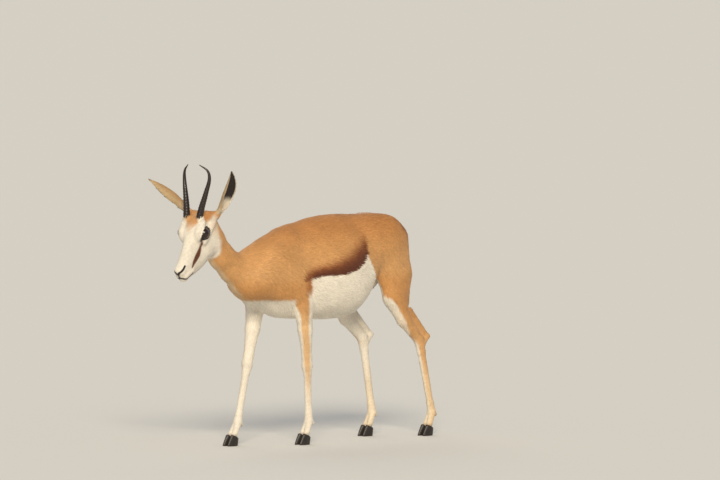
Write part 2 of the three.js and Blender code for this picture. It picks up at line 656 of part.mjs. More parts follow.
// The tail hangs clear of the buttocks and ends in a tuft of flat locks
const tailLine = new THREE.CatmullRomCurve3([tailRoot, between(tailRoot, tailBend, 0.6), tailBend,
  plus(tailBend, [-9, 0, -40]), plus(tailBend, [-12, 0, -tailLength * 0.6]), plus(tailBend, [-9, 0, -tailLength])]
  .map((p) => new THREE.Vector3(...p)));
const tailPath = (t) => tailLine.getPointAt(t).toArray();
const tailThick = curve([0, 17], [0.1, 14.2], [0.2, 11.5], [0.45, 8.6], [0.65, 7], [0.75, 4]);
const stem = sweep(tailPath, range(12, 0, 0.75), [1, 0, 0], (t, turn) =>
  [0.9 * tailThick(t) * Math.cos(turn), tailThick(t) * Math.sin(turn)], 9);

function lock(i, count) {
  const turn = (i / count) * Math.PI * 2;
  const out = [Math.sin(turn), Math.cos(turn), 0];
  const end = 1 - 0.05 * (i % 3);
  const spread = curve([0, 3.5], [0.5, 9.5 - (i % 2) * 1.5], [0.8, 8], [1, 3 + (i % 2)]);
  const width = curve([0, 3.4], [0.45, 8], [0.8, 5.6], [1, 0.9]);
  const path = (t) => plus(tailPath(mix(0.5, end, clamp(t, 0, 1))), times(out, spread(t)));
  return sweep(path, range(5), out, (t, angle) => [width(t) * Math.cos(angle), 0.5 * width(t) * Math.sin(angle)], 5);
}
const tuft = range(8, 0, 7).map((i) => lock(i, 8));
parts.tail = largest(tuft.reduce((tail, piece) => tail.add(piece), stem).intersect(block(...tailCut, -gap / 2)));

// Bring the parts to the middle of the floor they stand on
const lookOf = (name) => {
  if (name.startsWith("eye")) return { color: 0x120c08, roughness: 0.15 };
  if (name.startsWith("hoof") || name.includes("hoof")) return { color: 0x17130f, roughness: 0.5 };
  if (name.startsWith("horn")) return { color: 0x2a221c, roughness: 0.45 };
  return { color: 0xc9955a, roughness: 0.85 };
};
const boxes = Object.values(parts).map((part) => part.boundingBox());
const least = [0, 1, 2].map((a) => Math.min(...boxes.map((box) => box.min[a])));
const most = [0, 1, 2].map((a) => Math.max(...boxes.map((box) => box.max[a])));
const middle = times(plus(least, most), 0.5);
const placed = ([forward, left, up]) => [middle[0] - forward, middle[1] - left, up - least[2]];

const group = new THREE.Group();
Object.entries(parts).forEach(([name, part]) => {
  const { points, faces } = tidy(part);
  const geometry = new THREE.BufferGeometry();
  geometry.setAttribute("position", new THREE.Float32BufferAttribute(points.flatMap(placed), 3));
  geometry.setIndex(faces);
  geometry.computeVertexNormals();
  const node = new THREE.Mesh(geometry, new THREE.MeshStandardMaterial(lookOf(name)));
  node.name = name;
  group.add(node);
});

export default group;
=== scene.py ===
# A springbok ewe at life size, standing in mid-step with its head turned a little to its left
import math

import bpy
import numpy as np
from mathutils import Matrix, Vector
from mathutils.kdtree import KDTree


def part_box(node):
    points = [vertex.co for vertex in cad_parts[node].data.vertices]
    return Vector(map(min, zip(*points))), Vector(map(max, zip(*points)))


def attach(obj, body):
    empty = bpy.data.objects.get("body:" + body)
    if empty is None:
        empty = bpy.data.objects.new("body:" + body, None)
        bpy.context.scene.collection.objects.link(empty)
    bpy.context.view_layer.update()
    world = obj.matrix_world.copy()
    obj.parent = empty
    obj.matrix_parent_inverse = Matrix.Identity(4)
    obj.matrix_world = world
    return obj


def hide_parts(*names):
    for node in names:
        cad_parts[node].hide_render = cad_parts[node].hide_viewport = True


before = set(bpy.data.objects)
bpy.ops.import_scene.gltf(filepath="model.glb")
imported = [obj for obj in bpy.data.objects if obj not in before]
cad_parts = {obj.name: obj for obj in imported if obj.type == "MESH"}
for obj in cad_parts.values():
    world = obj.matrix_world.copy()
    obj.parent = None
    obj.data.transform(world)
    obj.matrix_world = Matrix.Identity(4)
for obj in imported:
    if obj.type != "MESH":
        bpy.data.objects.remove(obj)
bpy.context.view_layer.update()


# Numbers: body points are rows of forward, left, up in millimetres

def smoothStep(low, high, x):
    t = np.clip((x - low) / (high - low), 0, 1)
    return t * t * (3 - 2 * t)


def unit(v):
    v = np.asarray(v, float)
    return v / np.maximum(np.linalg.norm(v, axis=-1, keepdims=True), 1e-9)


def between(a, b, t):
    return np.asarray(a, float) * (1 - t) + np.asarray(b, float) * t


def plus(a, b):
    return np.asarray(a, float) + np.asarray(b, float)


def curve(*stations):  # a smooth curve through (at, value) stations, level beyond its ends
    at = np.array([s[0] for s in stations], float)
    value = np.array([s[1] for s in stations], float)
    before = np.maximum(np.arange(len(at)) - 1, 0)
    after = np.minimum(np.arange(len(at)) + 1, len(at) - 1)
    slope = (value[after] - value[before]) / (at[after] - at[before])

    def read(x):
        x = np.clip(x, at[0], at[-1])
        i = np.clip(np.searchsorted(at, x, side="right") - 1, 0, len(at) - 2)
        span = at[i + 1] - at[i]
        t = (x - at[i]) / span
        rise = t * t * (3 - 2 * t)
        bend = slope[i] * (1 - t) - slope[i + 1] * t
        return value[i] + (value[i + 1] - value[i]) * rise + span * t * (1 - t) * bend
    return read


def mottle(points, size, seed):  # smooth noise between about -1 and 1
    rng = np.random.default_rng(seed)
    waves = unit(rng.normal(size=(7, 3))) * (2 * math.pi / size) * rng.uniform(0.6, 1.6, (7, 1))
    shift = rng.uniform(0, 2 * math.pi, 7)
    return np.sin(points @ waves.T + shift).mean(1) * 1.9


# Distances to simple forms, negative inside: each form is (measure, lowest corner, highest corner)

bodyAxes = np.eye(3)


def tilted(degrees):
    c, s = math.cos(math.radians(degrees)), math.sin(math.radians(degrees))
    return np.array([[c, 0, s], [0, 1, 0], [-s, 0, c]])


def smooth(a, b, blend):
    h = np.maximum(blend - np.abs(a - b), 0) / blend
    return np.minimum(a, b) - h ** 3 * blend / 6


def taper(a, b, ra, rb, flat=1.0):
    a, b = np.asarray(a, float), np.asarray(b, float)
    squeeze = np.array([1, 1 / flat, 1])
    ba = (b - a) * squeeze
    l2 = ba @ ba
    rr = ra - rb
    a2 = l2 - rr * rr

    def measure(p):
        pa = (p - a) * squeeze
        y = pa @ ba
        z = y - l2
        side = pa * l2 - y[:, None] * ba
        x2 = (side * side).sum(1)
        y2 = y * y * l2
        z2 = z * z * l2
        k = np.sign(rr) * rr * rr * x2
        body = (np.sqrt(np.maximum(x2 * a2 / l2, 0)) + y * rr) / l2 - ra
        low = np.sqrt(x2 + y2) / l2 - ra
        high = np.sqrt(x2 + z2) / l2 - rb
        return np.where(np.sign(z) * a2 * z2 > k, high, np.where(np.sign(y) * a2 * y2 < k, low, body))
    reach = max(ra, rb)
    return measure, np.minimum(a, b) - reach, np.maximum(a, b) + reach


def egg(centre, radii, axes=bodyAxes):
    centre, radii = np.asarray(centre, float), np.asarray(radii, float)

    def measure(p):
        q = (p - centre) @ axes.T / radii
        near = np.linalg.norm(q, axis=1)
        steep = np.linalg.norm(q / radii, axis=1)
        return np.where(steep > 1e-9, near * (near - 1) / np.maximum(steep, 1e-9), -radii.min())
    return measure, centre - radii.max(), centre + radii.max()


def hull(top, under, half, ends, caps, narrowing, square):
    def measure(q):
        at = np.clip(q[:, 0], *ends)
        high, low = top(at), under(at)
        tall = (high - low) / 2
        v = (q[:, 2] - (high + low) / 2) / tall
        w = half(at) * (1 - narrowing(at) * np.clip(v, -1, 1))
        ring = (np.abs(q[:, 1] / w) ** square + np.abs(v) ** square) ** (1 / square)
        past = (q[:, 0] - at) / np.where(q[:, 0] < at, caps[0], caps[1])
        return (np.hypot(ring, past) - 1) * np.minimum(tall, w)
    return measure


def gather(forms, p, d):  # each form is worked out only for the points that it can reach
    d = d.copy()
    for (measure, low, high), blend in forms:
        reach = blend + 14
        near = np.nonzero(((p > low - reach) & (p < high + reach)).all(1))[0]
        if len(near):
            d[near] = smooth(d[near], measure(p[near]), blend)
    return d


# The body's form, from the same sizes as the solids

build = {
    "withers": 735, "croup": 751, "keel": 416, "belly": 404, "barrelHalf": 119,
    "headAt": (476, 14, 716), "headTurn": 15, "headDrop": 51,
    "eyeSpread": 38.5, "eyeRadius": 20, "hornRise": 186, "hornRoot": 12.2,
    "earLength": 180, "tailLength": 228,
}
stance = {
    "foreleg_left": ((46, 70, 466), (24, 63, 262), (16, 61, 78), (40, 61, 0)),
    "foreleg_right": ((131, -70, 464), (176, -63, 268), (222, -60, 78), (250, -60, 0)),
    "hindleg_left": ((-350, 73, 472), (-474, 64, 318), (-532, 61, 78), (-508, 61, 0)),
    "hindleg_right": ((-222, -75, 474), (-336, -63, 324), (-374, -60, 78), (-348, -60, 0)),
}

turn, drop = math.radians(build["headTurn"]), math.radians(build["headDrop"])
noseAxis = np.array([math.cos(drop) * math.cos(turn), math.cos(drop) * math.sin(turn), -math.sin(drop)])
leftAxis = np.array([-math.sin(turn), math.cos(turn), 0])
headAxes = np.array([noseAxis, leftAxis, np.cross(noseAxis, leftAxis)])
headAt = np.array(build["headAt"], float)


def inHead(*p):
    return headAt + np.asarray(p, float) @ headAxes


def headPoint(p):
    return (p - headAt) @ headAxes.T


torsoForm = hull(
    top=curve((-416, 650), (-385, 712), (-330, 738), (-230, build["croup"]), (-120, 754), (-40, 747),
              (20, build["withers"]), (70, 727), (130, 703), (190, 658), (240, 615)),
    under=curve((-416, 602), (-360, 586), (-320, 562), (-286, 524), (-260, 480), (-234, 441),
                (-190, 413), (-105, build["belly"]), (-10, 409), (60, build["keel"] - 3),
                (115, build["keel"] + 4), (150, 437), (190, 466), (240, 490)),
    half=curve((-416, 34), (-380, 66), (-320, 82), (-260, 96), (-190, 112), (-110, build["barrelHalf"]),
               (-30, 112), (60, 92), (140, 80), (200, 68), (240, 56)),
    ends=(-416, 240), caps=(24, 48),
    narrowing=curve((-400, 0.1), (-300, 0.12), (-100, 0.2), (60, 0.26), (240, 0.1)), square=2.15)


def shoulder(side, elbow):
    point = (202 + (elbow[0] - 46) * 0.1, side * 56, 546)
    return [
        (taper((80, side * 36, 668), point, 32, 46, 0.8), 40),
        (taper(point, plus(elbow, (26, 0, 34)), 46, 40, 0.78), 34),
        (egg((point[0] - 90, side * 60, 574), (78, 36, 92), tilted(-28)), 46),
        (taper(plus(elbow, (-18, side * 2, 22)), plus(elbow, (4, 0, -6)), 17, 24, 0.8), 22),
    ]


def foreleg(elbow, knee, fetlock):
    aboveKnee = between(knee, elbow, 0.14)
    belowKnee = between(knee, fetlock, 0.16)
    aboveFetlock = between(knee, fetlock, 0.86)
    return [
        (taper(plus(elbow, (4, 0, -4)), between(elbow, knee, 0.42), 36, 26.5, 0.8), 26),
        (taper(between(elbow, knee, 0.42), aboveKnee, 26.5, 18, 0.84), 16),
        (taper(aboveKnee, plus(knee, (1.5, 0, 4)), 18, 19.5, 0.9), 10),
        (taper(plus(knee, (1, 0, -6)), belowKnee, 19, 14.6, 0.88), 10),
        (taper(plus(knee, (-12, 0, 2)), plus(belowKnee, (-4, 0, 0)), 8, 7, 1), 8),
        (taper(belowKnee, aboveFetlock, 13.8, 12.8, 0.82), 8),
        (taper(aboveFetlock, fetlock, 12.8, 16.2, 0.92), 10),
    ]


def haunch(side, stifle):
    reach = (stifle[0] + 350) / 128
    return [
        (egg((-312, side * 40, 660), (108, 48, 80), tilted(-14)), 60),
        (taper((-330 + reach * 24, side * 48, 636), plus(stifle, (-8, side * -6, 16)), 74, 44, 0.64), 36),
        (taper((-392, side * 40, 660), (-392 + reach * 42, side * 52, 545), 42, 46, 0.72), 44),
        (taper((-392 + reach * 42, side * 52, 545), (-398 + reach * 100, side * 61, 458), 46, 29, 0.7), 34),
    ]


def hindleg(side, stifle, hock, fetlock):
    calf = plus(between(stifle, hock, 0.5), (12, 0, 0))
    point = plus(hock, (-35, 0, 14))
    belowHock = between(hock, fetlock, 0.15)
    aboveFetlock = between(hock, fetlock, 0.87)
    return [
        (taper(plus(stifle, (-4, side * -2, -2)), calf, 42, 27.5, 0.72), 30),
        (taper(calf, plus(hock, (6, 0, 8)), 26.5, 18.5, 0.8), 18),
        (taper(plus(calf, (-26, 0, 26)), point, 13, 8.5, 0.75), 18),
        (taper(plus(calf, (-14, 0, 12)), plus(hock, (-18, 0, 10)), 13, 11, 0.42), 12),
        (taper(point, plus(hock, (-8, 0, -12)), 10, 14.5, 0.85), 12),
        (taper(plus(hock, (2, 0, 4)), belowHock, 19.5, 15.8, 0.82), 12),
        (taper(belowHock, aboveFetlock, 14.8, 12.8, 0.82), 10),
        (taper(aboveFetlock, fetlock, 12.8, 16, 0.92), 10),
    ]


def foot(fetlock, hoof):
    coronet = np.array([hoof[0] - 6, hoof[1], 36.0])
    forms = []
    for toe in (-1, 1):
        over = plus(coronet, (0, toe * 9.2, 0))
        forms.append((taper(plus(fetlock, (2, toe * 5, -4)), over, 12, 11, 0.84), 7))
        forms.append((taper(over, plus(coronet, (6, toe * 9.4, -14)), 11, 10, 0.8), 4))
    return forms + [(egg(plus(fetlock, (-14, 0, -8)), (6, 10.5, 8)), 8)]


def limbForms(name):
    above, middle, fetlock, hoof = stance[name]
    side = 1 if name.endswith("left") else -1
    if name.startswith("fore"):
        return shoulder(side, above) + foreleg(above, middle, fetlock) + foot(fetlock, hoof)
    return haunch(side, above) + hindleg(side, above, middle, fetlock) + foot(fetlock, hoof)


neckLine = np.array([(150, 0, 590), (206, 0, 574), (250, 0, 570), (300, 0, 595), (350, 3, 635), (390, 6, 690),
                     (420, 8, 738)], float)
neckSizes = [  # half height behind and ahead, half width to it, and the blend
    (92, 80, 0.68, 44), (80, 61, 0.68, 36), (61, 49, 0.72, 30), (49, 45, 0.76, 28), (45, 42, 0.82, 28),
    (42, 40, 0.86, 26)]
trunkForms = [(egg((200, 0, 556), (80, 58, 80), tilted(14)), 44)]  # each form has its blend beside it
for i, (ra, rb, flat, blend) in enumerate(neckSizes):
    trunkForms.append((taper(neckLine[i], neckLine[i + 1], ra, rb, flat), blend))

skullForm = hull(
    top=curve((-90, -4), (-70, 16), (-50, 31), (-26, 40), (0, 39), (30, 29), (60, 21), (90, 15), (115, 11),
              (135, 8), (150, 4)),
    under=curve((-90, -58), (-70, -78), (-45, -96), (-15, -108), (15, -109), (45, -105), (75, -95),
                (105, -80), (130, -65), (150, -52)),
    half=curve((-90, 24), (-70, 36), (-45, 41), (-15, 43), (10, 41), (40, 33), (70, 28), (100, 25),
               (125, 23.5), (150, 18.5)),
    ends=(-90, 150), caps=(14, 15),
    narrowing=curve((-90, 0.1), (-20, 0.12), (30, 0.12), (90, 0.02), (150, 0)), square=2.25)


def faceForms(side):
    return [
        (egg((3, side * 31, 5), (33, 14.5, 28)), 24),
        (taper((-22, side * 36, 24), (14, side * 34, 24), 9, 7), 12),
        (taper((22, side * 36, -20), (-56, side * 41, -16), 9, 11), 16),
        (egg((-2, side * 25, -60), (48, 19, 40)), 18),
        (taper((-30, side * 24, 25), (-33, side * 25, 32), 16, 14.5), 12),
        (taper((-66, side * 28, 0), (-84, side * 43, -14), 20, 16), 18),
        (egg((144, side * 8, -9), (15, 11.5, 13.5)), 10),
        (taper((118, side * 17, -42), (150, side * 12, -31), 10, 10), 10),
    ]


headForms = faceForms(1) + faceForms(-1) + [(egg((148, 0, -4), (13.5, 12.5, 12)), 8),
                                            (egg((146, 0, -43), (20, 15, 11)), 8)]
tailRoot = np.array([-426.0, 0, 694])
tailBend = tailRoot + (-34, 0, -36)
bodyForms = list(trunkForms)
for name in stance:
    bodyForms += limbForms(name)
bodyForms.append((taper(tailRoot, tailBend, 17, 11.5, 0.9), 18))


def headField(p):
    q = headPoint(p)
    return gather(headForms, q, skullForm(q))


def bodyField(p):
    d = gather(bodyForms, p, torsoForm(p))
    ahead = p[:, 0] > 280
    d[ahead] = smooth(d[ahead], headField(p[ahead]), 26)
    return d


# The head's own details: lids round each eye, nostrils and the line of the mouth

face = {
    "eyeAt": (2, 3), "lidThick": 1.6, "openLong": 19.0, "openHigh": 14.0, "openTilt": -5, "openDeep": 4.5,
    "nostril": ((131, 19, -2), (146, 18, -1), (157, 13, -1), (163, 6, -2)), "nostrilSize": 2.6,
    "mouth": ((128, 26, -50), (142, 23, -46), (156, 17, -39), (167, 8, -29), (169, 0, -24)), "mouthSize": 1.5,
}
sides = {"left": 1, "right": -1}


def eyeCentre(side):
    return np.array([face["eyeAt"][0], side * build["eyeSpread"], face["eyeAt"][1]], float)


def eyeAxes(side):  # the eye's own axes in the head: along the lids to the nose, across them, and out
    out = unit((0.16, side * 0.95, 0.24))
    tilt = math.radians(face["openTilt"])
    along = np.array([math.cos(tilt), 0, -math.sin(tilt)])
    along = unit(along - out * (along @ out))
    across = unit(np.cross(out, along)) * side
    return np.array([along, across, out])


def eyeOpening(q, side):  # how far outside the almond between the lids a point is, and its distance out
    d = (q - eyeCentre(side)) @ eyeAxes(side).T
    x, y = d[:, 0] / face["openLong"], d[:, 1] / face["openHigh"]
    y = y / np.where(y > 0, 1.08, 0.86)
    lean = 1 - 0.16 * np.clip(x, -1.4, 1.4)
    ring = np.sqrt(x * x + (y / lean) ** 2 * (1 + 0.55 * x * x))
    return (ring - 1) * face["openHigh"], np.linalg.norm(d, axis=1), d[:, 2]


def polyDistance(p, line):  # distance to a run of straight lines
    best = np.full(len(p), 1e9)
    for a, b in zip(line[:-1], line[1:]):
        ab = b - a
        t = np.clip((p - a) @ ab / (ab @ ab), 0, 1)
        best = np.minimum(best, np.linalg.norm(p - a - t[:, None] * ab, axis=1))
    return best


def onSkull(point):  # a point of the head drawn onto its surface
    q = np.array([point], float)
    for _ in range(14):
        slope = slopeOf(headField, inHead(*q[0])[None], 0.4)
        d = headField(inHead(*q[0])[None])
        q = headPoint(inHead(*q[0])[None] - slope * (d / max((slope ** 2).sum(), 0.2))[:, None])
    return q[0]


def slopeOf(measure, p, nudge):
    out = np.empty_like(p)
    for a in range(3):
        shift = np.zeros(3)
        shift[a] = nudge
        out[:, a] = (measure(p + shift) - measure(p - shift)) / (2 * nudge)
    return out


nostrilLines = {}
for side in (1, -1):
    nostrilLines[side] = np.array([onSkull((a, side * b, c)) for a, b, c in face["nostril"]])
halfMouth = [onSkull(p) for p in face["mouth"]]
mouthLine = np.array(halfMouth + [p * (1, -1, 1) for p in halfMouth[-2::-1]])


def carve(d, hole, blend):  # takes a hole out of a form, with a soft edge
    return -smooth(-d, hole, blend)


def dressHead(q, d):
    for side in (1, -1):
        ring, far, out = eyeOpening(q, side)
        bulge = far - (build["eyeRadius"] + face["lidThick"])
        d = smooth(d, bulge, 9)
        hole = np.maximum(np.maximum(ring, -out), (build["eyeRadius"] - face["openDeep"]) - far)
        d = carve(d, hole, 1.2)
        d = carve(d, polyDistance(q, nostrilLines[side]) - face["nostrilSize"], 1.6)
    return carve(d, polyDistance(q, mouthLine) - face["mouthSize"], 1.4)


coatDepth = {"trunk": 2.6, "legs": 1.2, "face": 0.9}


def depthOf(p):
    depth = coatDepth["legs"] + (coatDepth["trunk"] - coatDepth["legs"]) * smoothStep(300, 470, p[:, 2])
    onFace = smoothStep(370, 450, p[:, 0])
    return depth + (coatDepth["face"] - depth) * onFace


def skinField(p):
    d = bodyField(p) + depthOf(p)
    ahead = np.nonzero(p[:, 0] > 400)[0]
    if len(ahead):
        d[ahead] = dressHead(headPoint(p[ahead]), d[ahead])
    return d


# Meshing: a closed net round the field, then finer where the head and feet need it

def surfaceNet(measure, low, high, cell):
    low = np.asarray(low, float)
    count = np.ceil((np.asarray(high) - low) / cell).astype(int) + 1
    axes = [low[a] + cell * np.arange(count[a]) for a in range(3)]
    grid = np.stack(np.meshgrid(*axes, indexing="ij"), -1).reshape(-1, 3)
    value = np.concatenate([measure(part) for part in np.array_split(grid, 8)]).reshape(count)
    inside = value < 0
    corners = [(i, j, k) for i in (0, 1) for j in (0, 1) for k in (0, 1)]

    def corner(array, c):
        return array[tuple(slice(c[a], count[a] - 1 + c[a]) for a in range(3))]
    held = sum(corner(inside, c).astype(int) for c in corners)
    active = (held > 0) & (held < 8)
    ids = np.full(active.shape, -1)
    ids[active] = np.arange(active.sum())
    total = np.zeros((active.sum(), 3))
    hits = np.zeros(active.sum())
    for a in corners:
        for b in corners:
            if sum(b) - sum(a) != 1 or sum(abs(np.subtract(a, b))) != 1:
                continue
            va, vb = corner(value, a)[active], corner(value, b)[active]
            cross = (va < 0) != (vb < 0)
            t = np.where(cross, va / np.where(cross, va - vb, 1), 0)
            spot = np.array(a) + t[:, None] * (np.array(b) - np.array(a))
            total += np.where(cross[:, None], spot, 0)
            hits += cross
    points = (np.argwhere(active) + total / hits[:, None]) * cell + low
    quads = []
    for axis in range(3):
        u, v = [(1, 2), (2, 0), (0, 1)][axis]
        first = np.take(inside, range(count[axis] - 1), axis)
        second = np.take(inside, range(1, count[axis]), axis)
        for flip in (False, True):
            where = np.argwhere(first & ~second if not flip else ~first & second)
            where = where[(where[:, u] > 0) & (where[:, v] > 0)]
            ring = []
            for du, dv in ((-1, -1), (0, -1), (0, 0), (-1, 0)):
                at = where.copy()
                at[:, u] += du
                at[:, v] += dv
                ring.append(ids[tuple(at.T)])
            ring = np.stack(ring, 1)
            quads.append(ring[:, ::-1] if flip else ring)
    quads = np.concatenate(quads)
    first = np.linalg.norm(points[quads[:, 0]] - points[quads[:, 2]], axis=1)
    second = np.linalg.norm(points[quads[:, 1]] - points[quads[:, 3]], axis=1)
    a, b, c, d = quads.T
    near = first < second
    faces = np.concatenate([
        np.stack([a, b, c], 1)[near], np.stack([a, c, d], 1)[near],
        np.stack([b, c, d], 1)[~near], np.stack([b, d, a], 1)[~near]])
    return points, faces


def settle(points, measure, steps, reach, only=None):  # draws points onto the field's surface
    points = points.copy()
    which = np.arange(len(points)) if only is None else np.nonzero(only)[0]
    for _ in range(steps):
        p = points[which]
        d = measure(p)
        slope = slopeOf(measure, p, 0.4)
        move = -slope * (d / np.maximum((slope ** 2).sum(1), 0.2))[:, None]
        size = np.linalg.norm(move, axis=1)
        points[which] = p + move * np.minimum(1, reach / np.maximum(size, 1e-9))[:, None]
    return points


def edgesOf(faces):
    pairs = np.sort(np.concatenate([faces[:, [0, 1]], faces[:, [1, 2]], faces[:, [2, 0]]]), 1)
    edges, back = np.unique(pairs, axis=0, return_inverse=True)
    return edges, back.reshape(3, -1).T


def splitLong(points, faces, longest):  # halves each edge that is too long and rebuilds the faces round it
    edges, ofFace = edgesOf(faces)
    middle = (points[edges[:, 0]] + points[edges[:, 1]]) / 2
    long = np.linalg.norm(points[edges[:, 0]] - points[edges[:, 1]], axis=1) > longest(middle)
    fresh = np.full(len(edges), -1)
    fresh[long] = len(points) + np.arange(long.sum())
    points = np.concatenate([points, middle[long]])
    mids = fresh[ofFace]
    marks = (mids >= 0).sum(1)
    out = [faces[marks == 0]]
    for shift in range(3):
        f = np.roll(faces, -shift, 1)
        m = np.roll(mids, -shift, 1)
        one = (marks == 1) & (m[:, 0] >= 0)
        out += [np.stack([f[one, 0], m[one, 0], f[one, 2]], 1),
                np.stack([m[one, 0], f[one, 1], f[one, 2]], 1)]
        two = (marks == 2) & (m[:, 2] < 0)
        out += [np.stack([m[two, 0], f[two, 1], m[two, 1]], 1),
                np.stack([f[two, 0], m[two, 0], m[two, 1]], 1),
                np.stack([f[two, 0], m[two, 1], f[two, 2]], 1)]
    f, m = faces[marks == 3], mids[marks == 3]
    out += [np.stack([f[:, 0], m[:, 0], m[:, 2]], 1), np.stack([m[:, 0], f[:, 1], m[:, 1]], 1),
            np.stack([m[:, 2], m[:, 1], f[:, 2]], 1), m]
    return points, np.concatenate(out)


def relax(points, faces, share, rounds, weight):  # draws each point towards the middle of its ring
    edges, _ = edgesOf(faces)
    count = np.bincount(edges.ravel(), minlength=len(points))[:, None]
    for _ in range(rounds):
        total = np.zeros_like(points)
        for a, b in ((0, 1), (1, 0)):
            for axis in range(3):
                total[:, axis] += np.bincount(edges[:, a], points[edges[:, b], axis], len(points))
        pull = total / np.maximum(count, 1) - points
        points = points + pull * share * weight[:, None]
    return points


def normalsOf(points, faces):
    a, b, c = points[faces].transpose(1, 0, 2)
    way = np.cross(b - a, c - a)
    total = np.zeros_like(points)
    for corner in range(3):
        for axis in range(3):
            total[:, axis] += np.bincount(faces[:, corner], way[:, axis], len(points))
    return unit(total)


# The frame's place: the solids' eyes tell where the body's own origin lies

def middleOf(node):
    low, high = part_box(node)
    return (np.array(low) + np.array(high)) / 2 * 1000


eyesMid = (middleOf("eye_left") + middleOf("eye_right")) / 2
shiftBy = eyesMid[:2] + inHead(face["eyeAt"][0], 0, face["eyeAt"][1])[:2]


def toRoom(p):
    p = np.asarray(p, float).reshape(-1, 3)
    return np.column_stack([shiftBy[0] - p[:, 0], shiftBy[1] - p[:, 1], p[:, 2]]) / 1000


def turnRoom(v):
    return np.asarray(v, float) * (-1, -1, 1)


def meshFrom(name, points, faces):
    mesh = bpy.data.meshes.new(name)
    mesh.vertices.add(len(points))
    mesh.vertices.foreach_set("co", np.asarray(points, np.float32).ravel())
    count, corners = faces.shape
    mesh.loops.add(faces.size)
    mesh.loops.foreach_set("vertex_index", faces.ravel().astype(np.int32))
    mesh.polygons.add(count)
    mesh.polygons.foreach_set("loop_start", np.arange(count, dtype=np.int32) * corners)
    mesh.polygons.foreach_set("loop_total", np.full(count, corners, np.int32))
    mesh.update(calc_edges=True)
    mesh.validate()
    mesh.polygons.foreach_set("use_smooth", np.ones(len(mesh.polygons), bool))
    return mesh


def pieceFrom(name, mesh, material=None):
    piece = bpy.data.objects.new(name, mesh)
    bpy.context.collection.objects.link(piece)
    if material:
        mesh.materials.clear()
        mesh.materials.append(material)
    return piece


def storeOn(mesh, name, kind, values):
    attribute = mesh.attributes.get(name) or mesh.attributes.new(name, kind, "POINT")
    field = {"FLOAT": "value", "FLOAT_VECTOR": "vector", "FLOAT_COLOR": "color"}[kind]
    attribute.data.foreach_set(field, np.asarray(values, np.float32).ravel())


def readFrom(mesh, name, width):
    attribute = mesh.attributes[name]
    out = np.empty(len(attribute.data) * width, np.float32)
    attribute.data.foreach_get({1: "value", 3: "vector", 4: "color"}[width], out)
    return out.reshape(-1, width).astype(float)


def facesOf(mesh):
    mesh.calc_loop_triangles()
    out = np.empty(len(mesh.loop_triangles) * 3, np.int32)
    mesh.loop_triangles.foreach_get("vertices", out)
    return out.reshape(-1, 3)


def pointsOf(mesh):
    out = np.empty(len(mesh.vertices) * 3, np.float32)
    mesh.vertices.foreach_get("co", out)
    return out.reshape(-1, 3).astype(float)


def loft(rings):  # rings of points, each (n, 3), joined in turn with the ends closed
    rings = np.asarray(rings, float)
    count, around = rings.shape[:2]
    i = np.arange(around)
    j = (i + 1) % around
    faces = []
    for r in range(count - 1):
        a, b = r * around, (r + 1) * around
        faces.append(np.stack([a + i, a + j, b + j], 1))
        faces.append(np.stack([a + i, b + j, b + i], 1))
    points = rings.reshape(-1, 3)
    last = (count - 1) * around
    faces.append(np.stack([np.full(around, len(points)), j, i], 1))
    faces.append(np.stack([np.full(around, len(points) + 1), last + i, last + j], 1))
    hubs = np.array([rings[0].mean(0), rings[-1].mean(0)])
    return np.concatenate([points, hubs]), np.concatenate(faces)


def sweep(path, steps, facing, section):  # rings square to a path; section gives offsets (across, front)
    rings = []
    for t in steps:
        along = unit(path(min(t + 0.01, max(t, 1))) - path(max(t - 0.01, min(t, 0))))
        across = unit(np.cross(facing, along))
        front = np.cross(along, across)
        offsets = section(t)
        rings.append(path(t) + offsets[:, :1] * across + offsets[:, 1:] * front)
    return rings


# Ears: a leaf folded round its opening

ears = {
    "left": {"root": inHead(-84, 44, -15), "way": (0.12, 0.55, 0.83), "open": (-0.1, 0.9, -0.4),
             "bow": (-13, 12, 0)},
    "right": {"root": inHead(-79, -44, -3), "way": (0.575, -0.53, 0.625), "open": (0.25, -0.68, -0.6),
              "bow": (0, -2, 2)},
}
ear = {"wall": 2.2, "rows": 64, "around": 26, "foot": 0.12}
earWidth = curve((0, 12), (0.12, 14), (0.28, 21), (0.45, 26), (0.65, 23), (0.85, 13), (1, 2.5))


def earPath(place):
    root, way, bow = place["root"], unit(place["way"]), np.asarray(place["bow"], float)
    return lambda t: root + way * (t * build["earLength"]) + bow * (4 * t * (1 - t))


